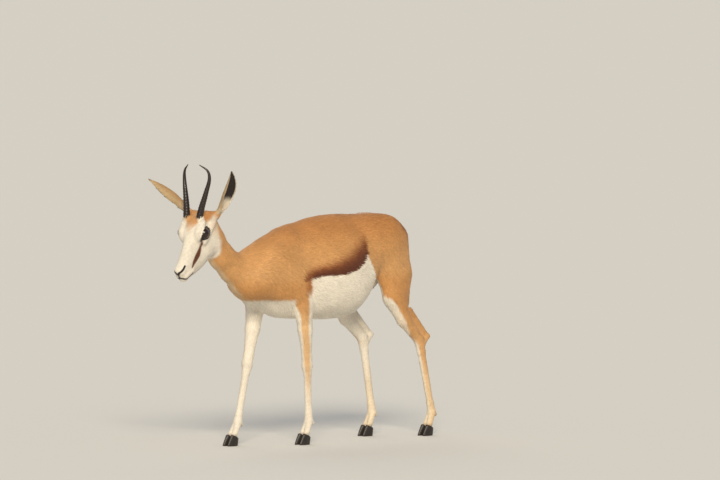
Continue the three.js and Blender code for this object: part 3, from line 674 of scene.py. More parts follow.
# An ear's points, faces and each point's marks: share of the length, inside or out, and nearness to the rim
def makeEar(place):
    half = ear["around"]
    marks = []

    def section(t):
        w = float(earWidth(t)) - 0.6
        deep = w * (0.95 + (0.62 - 0.95) * min(t * 3, 1))
        opened = float(smoothStep(ear["foot"], 0.34, t))
        reach = math.radians(88 + 14 * opened * (1 - 0.5 * smoothStep(0.6, 1, t)) + 74 * (1 - opened))
        swing = np.linspace(-reach, reach, half)
        wall = ear["wall"] * (1 - 0.55 * (np.abs(swing) / reach) ** 2) * (0.45 + 0.55 * min(1, 4 * (1 - t)))
        outer = np.stack([w * np.sin(swing), -deep * np.cos(swing)], 1)
        cup = smoothStep(0.02, 0.16, t)
        inset = wall / np.hypot(outer[:, 0], outer[:, 1]).clip(1)
        inner = outer * (1 - np.clip(inset, 0, 0.9))[:, None]
        ribs = 0.5 * np.cos(swing * 9) * smoothStep(0.2, 0.4, t) * (1 - smoothStep(0.75, 0.95, t))
        inner = inner * (1 - (ribs * (1 - (swing / reach) ** 2) / max(w, 1)))[:, None]
        floor = np.stack([np.zeros(half), np.full(half, deep * 0.55)], 1)
        inner = floor * (1 - cup) * 0.9 + inner * (cup + (1 - cup) * 0.1)
        near = np.abs(swing) / reach
        rims = np.concatenate([near, near[::-1]])
        marks.append(np.stack([np.full(half * 2, t), np.repeat([0.0, 1.0], half), rims], 1))
        return np.concatenate([outer, inner[::-1]])
    rings = sweep(earPath(place), np.linspace(0, 1, ear["rows"]), place["open"], section)
    points, faces = loft(rings)
    ends = np.array([[0, 0, 0], [1, 0, 1.0]])
    return points, faces, np.concatenate(marks + [ends])


# Tail: a slim stem from the dock down

tail = {"rows": 90, "around": 22}
tailStations = [tailRoot, between(tailRoot, tailBend, 0.6), tailBend, tailBend + (-9, 0, -40),
                tailBend + (-12, 0, -build["tailLength"] * 0.6), tailBend + (-9, 0, -build["tailLength"])]


def through(stations):  # an even run along a smooth line through stations
    p = np.asarray(stations, float)
    run = []
    for i in range(len(p) - 1):
        a, b, c, d = p[max(i - 1, 0)], p[i], p[i + 1], p[min(i + 2, len(p) - 1)]
        t = np.linspace(0, 1, 24, endpoint=False)[:, None]
        run.append(0.5 * (2 * b + (c - a) * t + (2 * a - 5 * b + 4 * c - d) * t ** 2
                          + (3 * b - a - 3 * c + d) * t ** 3))
    run = np.concatenate(run + [p[-1:]])
    far = np.concatenate([[0], np.cumsum(np.linalg.norm(np.diff(run, axis=0), axis=1))])

    def path(t):
        return np.array([np.interp(np.clip(t, 0, 1) * far[-1], far, run[:, a]) for a in range(3)])
    return path


tailPath = through(tailStations)
tailThick = curve((0, 15.5), (0.1, 12.8), (0.2, 10.2), (0.45, 7.4), (0.65, 6.2), (0.75, 5), (0.9, 3),
                  (0.96, 1.5))


def makeTail():
    swing = np.linspace(0, 2 * math.pi, tail["around"], endpoint=False)
    rings = sweep(tailPath, np.linspace(0, 0.96, tail["rows"]), (1, 0, 0),
                  lambda t: tailThick(t) * np.stack([0.9 * np.cos(swing), np.sin(swing)], 1))
    return loft(rings)


# The skin: body, ears and tail in one closed net

skinDetail = {
    "cell": 6.0, "box": ((-570, -135, 12), (610, 145, 800)),
    "bodyEdge": 9.2, "legEdge": 6.4, "footEdge": 5.0, "headEdge": 4.2, "muzzleEdge": 2.3, "eyeEdge": 2.0,
}


def longestEdge(p):
    q = headPoint(p)
    longest = np.full(len(p), skinDetail["bodyEdge"])
    longest[p[:, 2] < 390] = skinDetail["legEdge"]
    longest[p[:, 2] < 110] = skinDetail["footEdge"]
    onHead = (q[:, 0] > -100) & (p[:, 0] > 380)
    longest[onHead] = skinDetail["headEdge"]
    longest[onHead & (q[:, 0] > 112)] = skinDetail["muzzleEdge"]
    for side in (1, -1):
        longest[np.linalg.norm(q - eyeCentre(side), axis=1) < 31] = skinDetail["eyeEdge"]
    return longest


def joined(base, others):  # one closed net of several that run into each other
    body = pieceFrom("skinBase", meshFrom("skinBase", *base))
    helpers = []
    for i, other in enumerate(others):
        helper = pieceFrom("skinPart%d" % i, meshFrom("skinPart%d" % i, *other))
        change = body.modifiers.new("join%d" % i, "BOOLEAN")
        change.operation = "UNION"
        change.solver = "MANIFOLD"
        change.object = helper
        helpers.append(helper)
    graph = bpy.context.evaluated_depsgraph_get()
    mesh = bpy.data.meshes.new_from_object(body.evaluated_get(graph))
    out = pointsOf(mesh), facesOf(mesh)
    for thing in [body] + helpers:
        old = thing.data
        bpy.data.objects.remove(thing)
        bpy.data.meshes.remove(old)
    bpy.data.meshes.remove(mesh)
    return out


def makeSkin():
    def plain(p):
        return bodyField(p) + depthOf(p)
    low, high = skinDetail["box"]
    points, faces = surfaceNet(plain, low, high, skinDetail["cell"])
    points = settle(points, plain, 2, 2.5)
    print("skin: base net", len(faces))
    earNets = {name: makeEar(place) for name, place in ears.items()}
    points, faces = joined((points, faces), [net[:2] for net in earNets.values()] + [makeTail()])
    print("skin: joined", len(faces))
    roots = [earPath(place)(0.1) for place in ears.values()] + [tailPath(0.08)]

    def near(p):
        return np.max([1 - smoothStep(14, 30, np.linalg.norm(p - root, axis=1)) for root in roots], 0)
    for step in range(3):
        points, faces = splitLong(points, faces, longestEdge)
        onBody = np.abs(plain(points)) < (3.0 if step == 0 else 6.0)
        onBody &= near(points) < 0.2
        points = settle(points, skinField, 3, 2.0, onBody)
    weight = np.where(onBody, 1.0, 0.0)
    points = relax(points, faces, 0.35, 2, weight)
    points = settle(points, skinField, 2, 1.0, onBody)
    points = relax(points, faces, 0.5, 14, near(points))
    print("skin: finished", len(faces))
    return points, faces, earNets


skinPoints, skinFaces, earNets = makeSkin()
skinNormals = normalsOf(skinPoints, skinFaces)


def earMarks(points):  # each skin point's marks on its ear, zero elsewhere
    out = np.zeros((len(points), 3))
    off = np.abs(bodyField(points) + depthOf(points)) > 0.9
    for net, _, marks in earNets.values():
        tree = KDTree(len(net))
        for i, p in enumerate(net):
            tree.insert(p, i)
        tree.balance()
        low, high = net.min(0) - 3, net.max(0) + 3
        close = np.nonzero(off & ((points > low) & (points < high)).all(1))[0]
        for i in close:
            _, index, far = tree.find(points[i])
            if far < 6:
                out[i] = marks[index]
    return out


skinEars = earMarks(skinPoints)
print("skin: ears marked", int((skinEars[:, 0] > 0).sum()))


# Markings and painted shade, the same for the skin and every tuft

def srgb(r, g, b):
    c = np.array([r, g, b]) / 255
    return np.where(c <= 0.04045, c / 12.92, ((c + 0.055) / 1.055) ** 2.4)


tones = {
    "fawn": srgb(205, 148, 88), "back": srgb(186, 124, 66), "pale": srgb(222, 176, 120),
    "white": srgb(240, 230, 212), "cream": srgb(234, 212, 176), "black": srgb(18, 14, 12),
    "band": srgb(92, 44, 20), "bandEdge": srgb(146, 84, 40), "stripe": srgb(104, 54, 26),
    "lip": srgb(44, 34, 30), "earBack": srgb(188, 160, 118), "earIn": srgb(38, 28, 26),
    "hoofRim": srgb(120, 96, 72), "tuft": srgb(34, 26, 20),
}
# the lines that the markings and the painted brow shade follow, over the body or in the head's own frame
bandLow = curve((-207, 616), (-203, 613), (-180, 589), (-133, 568), (-86, 559), (-6, 557), (39, 549),
                (75, 541))
bandHigh = curve((-207, 697), (-160, 670), (-114, 636), (-44, 606), (26, 586), (75, 566))
thighEdge = curve((278, -473), (317, -444), (379, -401), (416, -373), (439, -355), (472, -318),
                  (520, -272), (557, -245), (614, -207))
jawEdge = curve((-112, 2), (-101, -8), (-67, -32), (-42, -58), (-20, -70))
throatEdge = curve((-90, -58), (-45, -90), (0, -101), (45, -101), (75, -93), (105, -84), (150, -70))
foreheadWidth = curve((-70, 30), (-32, 25), (0, 15), (14, 6), (24, 0))
cheekStripe = np.array([(30, 0, 5), (31, 0, -8), (36, 0, -17), (50, 0, -25), (65, 0, -28.5),
                        (81, 0, -29.3), (99, 0, -29.5), (117, 0, -31)], float)
stripeWidth = curve((28, 2.6), (36, 3.4), (50, 6.2), (65, 9.4), (81, 9.0), (99, 6.4), (110, 3.6), (119, 1))
# the painted shadow under the brow ridge and the upper lid's crease, with the lashes' own dark, follows this
# line
browShadeLine = np.array([(-12, 0, 10), (-22, 0, 14), (-31, 0, 17)], float)


def legLine(name, z):
    joints = np.array(stance[name], float)[::-1]
    return np.interp(z, joints[:, 2], joints[:, 0]), np.interp(z, joints[:, 2], joints[:, 1])


def stripeReach(z):  # half the width of the foreleg's stripe
    return np.interp(z, (60, 150, 300, 400, 440, 470, 500), (4, 6, 10, 12, 15, 22, 40))


def onTail(p):
    return (p[:, 0] < -447) & (np.abs(p[:, 1]) < 32) & (p[:, 2] > 420)


def lay(colour, tone, share):  # lays a tone over the colours, by a share for each point
    share = np.clip(share, 0, 1)[:, None]
    colour[:] = colour * (1 - share) + tones[tone] * share


def paintTrunk(colour, p, wander):  # back, side band, painted shade of the fold behind the elbow, white belly
    s, l, z = p.T
    lay(colour, "back", smoothStep(640, 735, z) * (1 - smoothStep(330, 420, s)) * 0.75)
    lay(colour, "pale", smoothStep(700, 560, z) * smoothStep(520, 570, z) * 0.35)
    low, high = bandLow(s) + wander * 0.5, bandHigh(s) + wander
    rear = smoothStep(-214, -200, s + wander * 0.4)
    inBand = rear * smoothStep(low - 1.5, low + 1.5, z)
    inBand *= 1 - smoothStep(low + (high - low) * 0.35, high + 14, z)
    inBand *= 1 - smoothStep(40, 86, s)
    lay(colour, "bandEdge", inBand * 1.1)
    lay(colour, "band", inBand * (1 - smoothStep(low + (high - low) * 0.1, high - 2, z)))
    # painted shade: the fold behind each elbow, darkened with the band's edge tone
    foldAt = 38 + (548 - z) * 0.1
    elbowFoldShade = smoothStep(foldAt - 8, foldAt + 4, s) * (1 - smoothStep(foldAt + 6, foldAt + 36, s))
    elbowFoldShade *= smoothStep(458, 520, z) * (1 - smoothStep(545, 600, z)) * (np.abs(l) > 40)
    lay(colour, "bandEdge", elbowFoldShade * 0.7)
    belly = smoothStep(1.5, -1.5, z - low) * (1 - smoothStep(34, 42, s + wander * 0.5)) * rear
    lay(colour, "white", belly * (z > 380))
    chest = (s > 0) & (s < 262)
    lay(colour, "white", smoothStep(491 + 30 * smoothStep(75, 50, s), 479, z + wander * 0.5) * chest)


def paintHindlegs(colour, p, n, wander):  # white ahead and within, tan behind, paler below the hock
    s, l, z = p.T
    leftLine, _ = legLine("hindleg_left", z)
    for name, legSide in (("hindleg_left", 1), ("hindleg_right", -1)):
        mine = (np.where(l >= 0, 1, -1) == legSide) & (s < -200) & (z < 620)
        axis, _ = legLine(name, z)
        edge = thighEdge(z) + (axis - leftLine) * smoothStep(600, 480, z)
        front = smoothStep(-3, 5, s - edge + wander * 0.5)
        outward = n[:, 1] * legSide
        inner = smoothStep(0.15, -0.35, outward)
        lay(colour, "white", mine * smoothStep(290, 330, z) * np.maximum(front, inner))
        facing = outward * 0.9 - n[:, 0] * 0.35
        below = mine * smoothStep(345, 300, z)
        tan = smoothStep(0.1, 0.75, facing)
        lay(colour, "white", below * smoothStep(0.75, 0.1, facing + wander * 0.03))
        lay(colour, "pale", below * tan * (0.65 + 0.3 * smoothStep(260, 120, z)))
        lay(colour, "cream", below * smoothStep(300, 130, z) * 0.65)
        gaskin = mine * smoothStep(300, 330, z) * smoothStep(470, 330, z)
        lay(colour, "pale", gaskin * smoothStep(0, 0.4, outward) * 0.4)


def paintForelegs(colour, p, n, wander):  # white, with a tan stripe down the front
    s, l, z = p.T
    for name, legSide in (("foreleg_left", 1), ("foreleg_right", -1)):
        axis, middle = legLine(name, z)
        across = (s - axis) * 0.75 - (l - middle) * legSide * 0.66
        ahead = n[:, 0] * 0.66 + n[:, 1] * legSide * 0.75
        reach = stripeReach(z)
        near = smoothStep(62, 48, np.abs(s - axis)) * (np.where(l >= 0, 1, -1) == legSide) * (z < 500)
        mid = np.maximum(reach - 14, 0) - 1
        stripe = smoothStep(reach + 4, reach - 4, np.abs(across - mid + wander * 0.4)) * near
        stripe *= smoothStep(0.1, 0.4, ahead)
        lay(colour, "white", near * smoothStep(494, 480, z) * (s - axis < 34))
        lay(colour, "pale", stripe * (0.12 + 0.8 * smoothStep(110, 290, z)))
        lay(colour, "fawn", stripe * smoothStep(380, 480, z) * 0.9)


def paintThroatAndRump(colour, p, n, wander):  # pale throat, white rump and the folded crest before it
    s, l, z = p.T
    throat = smoothStep(225, 300, s) * (s < 430) * (z < 700)
    strip = smoothStep(0.7, 0.95, n[:, 0] * 0.62 - n[:, 2] * 0.78)
    strip *= 1 - smoothStep(6, 26, np.abs(l) + wander)
    lay(colour, "pale", throat * strip * 0.8)
    lay(colour, "cream", throat * strip * 0.6)
    off, along = np.abs(l) + wander, s + (z - 650) * 0.12
    atRump = (z > 470) * (s > -470)
    rump = smoothStep(62, 48, off) * smoothStep(-385, -402, along) * atRump
    border = smoothStep(74, 60, off) * smoothStep(-370, -386, along) * atRump
    crest = smoothStep(5.5, 3.0, np.abs(l)) * smoothStep(-170, -200, s) * (z > 700)
    crestEdge = smoothStep(17, 9, np.abs(l)) * smoothStep(-150, -190, s) * (z > 700)
    lay(colour, "bandEdge", np.maximum(border, crestEdge * 0.7) * 0.8)
    lay(colour, "white", np.maximum(rump, crest))


def paintFace(colour, p, wander):
    q = headPoint(p)
    a, b, c = q.T
    face = (p[:, 0] > 330) & (a > -112)
    cheek = smoothStep(-14, 9, a - jawEdge(c) + wander * 1.2)
    lay(colour, "white", face * cheek * np.maximum(smoothStep(-16, -3, c - throatEdge(a)), a > 96))
    crown = face * smoothStep(-30, -46, a + wander) * smoothStep(-2, 14, c)
    lay(colour, "fawn", crown)
    lay(colour, "back", crown * 0.6)
    forehead = face * smoothStep(7, -6, np.abs(b) - foreheadWidth(a) + wander) * (a < 30) * (c > 12)
    lay(colour, "fawn", forehead * (0.35 + 0.6 * smoothStep(12, -18, a)))
    flat = np.column_stack([a, np.zeros(len(p)), c])
    past = polyDistance(flat, cheekStripe) - stripeWidth(a) + wander * 0.15
    lay(colour, "stripe", face * (np.abs(b) > 12) * smoothStep(1.6, -1.4, past))
    # painted shadow of the brow ridge and upper lid crease behind and above each eye, with the lashes' own
    # dark
    browShade = smoothStep(4.6, 2.0, polyDistance(flat, browShadeLine)) * smoothStep(-33, -22, a)
    lay(colour, "black", face * (np.abs(b) > 18) * browShade * 0.9)
    for side in (1, -1):
        ring, far, out = eyeOpening(q, side)
        close = face & (out > -4) & (far < 34)
        up = (q - eyeCentre(side)) @ eyeAxes(side)[1]
        back = (eyeCentre(side) - q) @ eyeAxes(side)[0]
        lid = 5 + 2.6 * smoothStep(0, 9, up) + 2.2 * smoothStep(2, 14, back)
        lay(colour, "black", close * smoothStep(lid + 0.8, lid - 0.8, ring))
        corner = np.linalg.norm((q - (24, side * 36, 2)) * (0.6, 0.3, 1.0), axis=1)
        lay(colour, "black", face * smoothStep(7.0, 4.6, corner))
        nostril = polyDistance(q, nostrilLines[side])
        lay(colour, "lip", face * smoothStep(5.0, 3.0, nostril))
        lay(colour, "black", face * smoothStep(3.6, 2.4, nostril))
    tip = np.linalg.norm((q - (166, 0, -7)) * (0.6, 0.62, 1), axis=1)
    lay(colour, "black", face * smoothStep(6.4, 4.4, tip))
    split = np.maximum(np.abs(b) - 1.2, 0) + np.maximum(np.abs(c + 16) - 8, 0)
    lay(colour, "lip", face * (a > 150) * smoothStep(2.2, 0.8, split))
    lay(colour, "lip", face * smoothStep(5.0, 3.0, polyDistance(q, mouthLine)))
    temple = face * smoothStep(-8, -52, a) * smoothStep(18, 34, np.abs(b)) * smoothStep(4, -22, c)
    lay(colour, "pale", temple * 0.45)


def paintEars(colour, marks):
    t, inside, rim = marks.T
    onEar = smoothStep(0.02, 0.1, t)
    hollow = onEar * inside
    lay(colour, "earBack", onEar)
    lay(colour, "fawn", onEar * (1 - inside) * smoothStep(0.5, 0.1, rim) * 0.5)
    lay(colour, "cream", onEar * smoothStep(0.35, 0.12, t) * (1 - inside) * 0.6)
    lay(colour, "white", hollow * 0.8)
    lay(colour, "earIn", hollow * smoothStep(0.26, 0.4, t) * smoothStep(0.93, 0.8, rim))
    lay(colour, "white", hollow * smoothStep(0.84, 0.96, rim) * 0.8)
    lay(colour, "earIn", onEar * smoothStep(0.93, 1.0, t) * 0.6)


def coat(p, n, marks):  # the coat's colour at body points with their normals and ear marks
    z = p[:, 2]
    wander = mottle(p, 34, 5) * 3 + mottle(p, 11, 6) * 1.2  # keeps every edge a little uneven
    colour = np.tile(tones["fawn"], (len(p), 1))
    paintTrunk(colour, p, wander)
    paintHindlegs(colour, p, n, wander)
    paintForelegs(colour, p, n, wander)
    paintThroatAndRump(colour, p, n, wander)
    paintFace(colour, p, wander)
    paintEars(colour, marks)
    lay(colour, "white", onTail(p))
    lay(colour, "tuft", onTail(p) * smoothStep(560, 520, z + wander))
    lay(colour, "hoofRim", smoothStep(44, 36, z) * 0.5)
    light = 1 + 0.05 * mottle(p, 60, 8) + 0.04 * mottle(p, 18, 9)
    return np.clip(colour * light[:, None], 0, 1)


# Materials

def newMaterial(name, roughness, sheen=0.0, coatWeight=0.0):
    material = bpy.data.materials.new(name)
    material.use_nodes = True
    nodes = material.node_tree.nodes
    shader = nodes["Principled BSDF"]
    shader.inputs["Roughness"].default_value = roughness
    shader.inputs["Sheen Weight"].default_value = sheen
    shader.inputs["Coat Weight"].default_value = coatWeight
    return material, nodes, material.node_tree.links, shader


def addNode(nodes, kind, **values):
    node = nodes.new(kind)
    for name, value in values.items():
        setattr(node, name, value)
    return node


def addNoise(nodes, links, scale, detail, stretch=None):  # noise on Object coordinates; its Fac socket
    place = addNode(nodes, "ShaderNodeTexCoord").outputs["Object"]
    if stretch:
        spread = addNode(nodes, "ShaderNodeMapping")
        spread.inputs["Scale"].default_value = stretch
        links.new(place, spread.inputs["Vector"])
        place = spread.outputs["Vector"]
    noise = addNode(nodes, "ShaderNodeTexNoise")
    noise.inputs["Scale"].default_value = scale
    noise.inputs["Detail"].default_value = detail
    links.new(place, noise.inputs["Vector"])
    return noise.outputs["Fac"]


def addBump(nodes, links, shader, height, strength, distance):
    bump = addNode(nodes, "ShaderNodeBump")
    bump.inputs["Strength"].default_value = strength
    bump.inputs["Distance"].default_value = distance
    links.new(height, bump.inputs["Height"])
    links.new(bump.outputs["Normal"], shader.inputs["Normal"])


def addRange(nodes, links, value, low, high):
    spread = addNode(nodes, "ShaderNodeMapRange")
    spread.inputs["To Min"].default_value = low
    spread.inputs["To Max"].default_value = high
    links.new(value, spread.inputs["Value"])
    return spread.outputs["Result"]


def addRamp(nodes, links, shader, value, *stops):  # a base colour between (position, colour) stops
    ramp = addNode(nodes, "ShaderNodeValToRGB")
    for element, (at, tone) in zip(ramp.color_ramp.elements, stops):
        element.position = at
        element.color = (*srgb(*tone), 1)
    links.new(value, ramp.inputs["Fac"])
    links.new(ramp.outputs["Color"], shader.inputs["Base Color"])


def makeCoatMaterial(name, roughness, sheen, noise, low, high):  # the stored markings, with a fine mottle
    material, nodes, links, shader = newMaterial(name, roughness, sheen=sheen)
    grain = addNoise(nodes, links, *noise)
    tone = addNode(nodes, "ShaderNodeAttribute", attribute_name="coatColour")
    mixed = addNode(nodes, "ShaderNodeVectorMath", operation="SCALE")
    links.new(tone.outputs["Color"], mixed.inputs[0])
    links.new(addRange(nodes, links, grain, low, high), mixed.inputs["Scale"])
    links.new(mixed.outputs["Vector"], shader.inputs["Base Color"])
    return material, nodes, links, shader, grain


def makeSkinMaterial():
    material, nodes, links, shader, hair = makeCoatMaterial(
        "shortCoat", 0.72, 0.12, (1.6, 5, (90, 420, 260)), 0.82, 1.1)
    addBump(nodes, links, shader, hair, 0.35, 0.0012)
    return material


def makeTuftMaterial():
    material, _, _, shader, _ = makeCoatMaterial("coatTufts", 0.62, 0.15, (700, 2), 0.86, 1.12)
    shader.inputs["Specular IOR Level"].default_value = 0.3
    return material


skinMaterial = makeSkinMaterial()
tuftMaterial = makeTuftMaterial()

skinColour = coat(skinPoints, skinNormals, skinEars)
skinMesh = meshFrom("skin", toRoom(skinPoints), skinFaces)
storeOn(skinMesh, "coatColour", "FLOAT_COLOR", np.column_stack([skinColour, np.ones(len(skinColour))]))
skin = pieceFrom("skin", skinMesh, skinMaterial)
print("skin: coloured")


# The coat: tufts that lie along the body

def flowOf(p, n, marks):  # the way that the hair lies
    s, l, z = p.T
    q = headPoint(p)
    flow = np.tile((-1.0, 0.0, -0.3), (len(p), 1))
    flow[:, 2] -= 0.7 * smoothStep(60, 118, np.abs(l)) * smoothStep(-60, 120, s)
    neckWay = np.clip((s - 180) / 200, 0, 1)[:, None]
    flow = flow * (1 - neckWay) + np.array((-0.72, 0, -0.7)) * neckWay
    legs = smoothStep(520, 400, z) * ((s > 10) | (s < -230)) * (np.abs(l) > 22)
    flow = flow * (1 - legs[:, None]) + np.array((-0.12, 0, -1.0)) * legs[:, None]
    haunchWay = smoothStep(-220, -330, s) * (1 - legs)
    flow = flow * (1 - haunchWay[:, None]) + np.array((-0.6, 0, -0.8)) * haunchWay[:, None]
    onHead = smoothStep(-95, -60, q[:, 0]) * (s > 380)
    downward = -0.25 - 0.3 * smoothStep(0, -60, q[:, 2])
    faceWay = np.column_stack([np.full(len(p), -1.0), 0.35 * np.sign(q[:, 1]), downward])
    flow = flow * (1 - onHead[:, None]) + (faceWay @ headAxes) * onHead[:, None]
    for place in ears.values():
        mine = (marks[:, 0] > 0.03) & (np.linalg.norm(p - place["root"], axis=1) < build["earLength"] * 1.1)
        mine &= ((p - place["root"]) @ unit(place["way"]) > -8)
        flow[mine] = unit(place["way"])
    flow[onTail(p)] = (0, 0, -1.0)
    flow = flow - n * (flow * n).sum(1)[:, None]
    return unit(flow)


def hairless(p):  # 1 where no tuft grows: eyes, nostrils, mouth and hooves
    q = headPoint(p)
    bare = np.zeros(len(p))
    for side in (1, -1):
        ring, far, out = eyeOpening(q, side)
        bare = np.maximum(bare, smoothStep(5.6, 4.6, ring) * (out > -2) * (far < 30))
        bare = np.maximum(bare, smoothStep(5, 4, polyDistance(q, nostrilLines[side])))
    bare = np.maximum(bare, smoothStep(2.4, 1.8, polyDistance(q, mouthLine)))
    return np.maximum(bare, smoothStep(40, 38, p[:, 2]))


tuftShape = {  # length along x; the tone factors and bend are for each point, the tone factors being painted shade that darkens each tuft's root and lightens its tip; patch is its place on the map
    "points": ((0, -0.5, -0.5), (0, 0.5, -0.5), (0, 0, 0.1), (0.5, -0.42, 0.2), (0.5, 0.42, 0.2),
               (0.5, 0, 0.8), (1, 0, 0.15)),
    "sides": ((0, 1, 4, 3), (1, 2, 5, 4), (2, 0, 3, 5)),
    "ends": ((0, 2, 1), (3, 4, 6), (4, 5, 6), (5, 3, 6)),
    "patch": ((-1, -1), (-1, 1), (-0.7, 0), (0, -0.7), (0, 0.7), (0.3, 0), (1, 0)), "patchHalf": 0.0015,
    "rootShade": (0.8, 0.8, 0.86, 1, 1, 1.05, 1.1), "bend": (-0.35, 0.35, 0, -0.35, 0.35, 0, 0),
}


def makeTuft():
    sidesOf = np.array(tuftShape["sides"])
    tris = np.concatenate([sidesOf[:, [0, 1, 2]], sidesOf[:, [0, 2, 3]], np.array(tuftShape["ends"])])
    tuft = pieceFrom("tuft", meshFrom("tuft", np.array(tuftShape["points"]), tris))
    tuft.hide_render = True
    return tuft


def coatTree():  # tufts spread over a net, turned along the stored flow
    tree = bpy.data.node_groups.new("layCoat", "GeometryNodeTree")
    sockets = [("Geometry", "NodeSocketGeometry", None), ("Tuft", "NodeSocketObject", None),
               ("Finish", "NodeSocketMaterial", None), ("Spacing", "NodeSocketFloat", 0.003),
               ("Length", "NodeSocketFloat", 0.01), ("Width", "NodeSocketFloat", 0.003),
               ("Thickness", "NodeSocketFloat", 0.001), ("Lift", "NodeSocketFloat", 0.1),
               ("Stray", "NodeSocketFloat", 0.2), ("Seed", "NodeSocketInt", 1)]
    for name, kind, value in sockets:
        socket = tree.interface.new_socket(name, in_out="INPUT", socket_type=kind)
        if value is not None:
            socket.default_value = value
    tree.interface.new_socket("Geometry", in_out="OUTPUT", socket_type="NodeSocketGeometry")
    nodes, links = tree.nodes, tree.links
    given = nodes.new("NodeGroupInput").outputs
    result = nodes.new("NodeGroupOutput").inputs

    def give(sockets, values):
        for socket, value in zip(sockets, values):
            if isinstance(value, (int, float)):
                socket.default_value = value
            else:
                links.new(value, socket)

    def math2(operation, a, b):
        node = addNode(nodes, "ShaderNodeMath", operation=operation)
        give(node.inputs, (a, b))
        return node.outputs[0]

    def named(name, kind):
        node = addNode(nodes, "GeometryNodeInputNamedAttribute", data_type=kind)
        node.inputs["Name"].default_value = name
        return node.outputs["Attribute"]

    def chance(low, high, step):
        node = addNode(nodes, "FunctionNodeRandomValue", data_type="FLOAT")
        give((node.inputs[2], node.inputs[3]), (low, high))
        links.new(math2("ADD", given["Seed"], step), node.inputs["Seed"])
        return node.outputs[1]
    spread = addNode(nodes, "GeometryNodeDistributePointsOnFaces", distribute_method="POISSON")
    links.new(given["Geometry"], spread.inputs["Mesh"])
    links.new(given["Spacing"], spread.inputs["Distance Min"])
    area = math2("MULTIPLY", given["Spacing"], given["Spacing"])
    links.new(math2("DIVIDE", 2.4, area), spread.inputs["Density Max"])
    links.new(named("hairThick", "FLOAT"), spread.inputs["Density Factor"])
    links.new(given["Seed"], spread.inputs["Seed"])
    points = spread.outputs["Points"]
    for name, value in (("rootPlace", nodes.new("GeometryNodeInputPosition").outputs[0]),
                        ("rootNormal", spread.outputs["Normal"])):
        store = addNode(nodes, "GeometryNodeStoreNamedAttribute", data_type="FLOAT_VECTOR", domain="POINT")
        store.inputs["Name"].default_value = name
        links.new(points, store.inputs["Geometry"])
        links.new(value, store.inputs["Value"])
        points = store.outputs["Geometry"]
    aim = addNode(nodes, "FunctionNodeAxesToRotation", primary_axis="Z", secondary_axis="X")
    links.new(named("rootNormal", "FLOAT_VECTOR"), aim.inputs[0])
    links.new(named("flow", "FLOAT_VECTOR"), aim.inputs[1])
    lean = nodes.new("ShaderNodeCombineXYZ")
    links.new(chance(-0.25, 0.25, 11), lean.inputs["X"])
    links.new(math2("MULTIPLY", math2("MULTIPLY", given["Lift"], chance(0.3, 1.5, 12)), -1), lean.inputs["Y"])
    links.new(chance(math2("MULTIPLY", given["Stray"], -1), given["Stray"], 13), lean.inputs["Z"])
    asTurn = nodes.new("FunctionNodeEulerToRotation")
    links.new(lean.outputs[0], asTurn.inputs[0])
    turned = addNode(nodes, "FunctionNodeRotateRotation", rotation_space="LOCAL")
    links.new(aim.outputs[0], turned.inputs[0])
    links.new(asTurn.outputs[0], turned.inputs[1])
    size = nodes.new("ShaderNodeCombineXYZ")
    length = math2("MULTIPLY", given["Length"], named("hairLength", "FLOAT"))
    links.new(math2("MULTIPLY", length, chance(0.75, 1.25, 14)), size.inputs["X"])
    links.new(math2("MULTIPLY", given["Width"], chance(0.8, 1.2, 15)), size.inputs["Y"])
    links.new(given["Thickness"], size.inputs["Z"])
    source = nodes.new("GeometryNodeObjectInfo")
    links.new(given["Tuft"], source.inputs["Object"])
    place = nodes.new("GeometryNodeInstanceOnPoints")
    links.new(points, place.inputs["Points"])
    links.new(source.outputs["Geometry"], place.inputs["Instance"])
    links.new(turned.outputs[0], place.inputs["Rotation"])
    links.new(size.outputs[0], place.inputs["Scale"])
    real = nodes.new("GeometryNodeRealizeInstances")
    links.new(place.outputs["Instances"], real.inputs["Geometry"])
    paint = nodes.new("GeometryNodeSetMaterial")
    links.new(real.outputs["Geometry"], paint.inputs["Geometry"])
    links.new(given["Finish"], paint.inputs["Material"])
    links.new(paint.outputs["Geometry"], result["Geometry"])
    return tree


coatSizes = ("spacing", "length", "width", "thickness", "lift", "stray")  # the first four in millimetres
coats = {name: dict(zip(coatSizes, sizes)) for name, sizes in {
    "coat_torso_left": (3.5, 13, 3.2, 1.3, 0.07, 0.22),
    "coat_torso_right": (3.5, 13, 3.2, 1.3, 0.07, 0.22),
    "coat_neck": (3.0, 11, 2.6, 1.2, 0.07, 0.2),
    "coat_head": (2.2, 5.5, 1.7, 0.8, 0.08, 0.2),
    "coat_ears": (2.4, 6, 1.6, 0.6, 0.1, 0.2),
    "coat_forelegs": (2.8, 7, 2.2, 0.8, 0.05, 0.14),
    "coat_hindlegs": (2.8, 7, 2.2, 0.8, 0.05, 0.14),
    "coat_tail": (1.9, 11, 1.7, 0.9, 0.1, 0.16),
}.items()}


def regionOf(p, marks):  # which coat piece each point belongs to
    s, l, z = p.T
    names = list(coats)
    region = np.where(l >= 0, names.index("coat_torso_left"), names.index("coat_torso_right"))
    region[(z < 408) & (s > -140)] = names.index("coat_forelegs")
    region[(z < 430) & (s < -200)] = names.index("coat_hindlegs")
    belly = (z > 385) & (z < 432) & (s < 150) & (s > -300) & (np.abs(l) < 34)
    region[belly] = names.index("coat_torso_left")
    region[(s - 185) * 0.855 + (z - 680) * 0.518 > 0] = names.index("coat_neck")
    region[(s - 386) * 0.99 - (z - 800) * 0.141 > 0] = names.index("coat_head")
    region[marks[:, 0] > 0.03] = names.index("coat_ears")
    region[onTail(p)] = names.index("coat_tail")
    return region


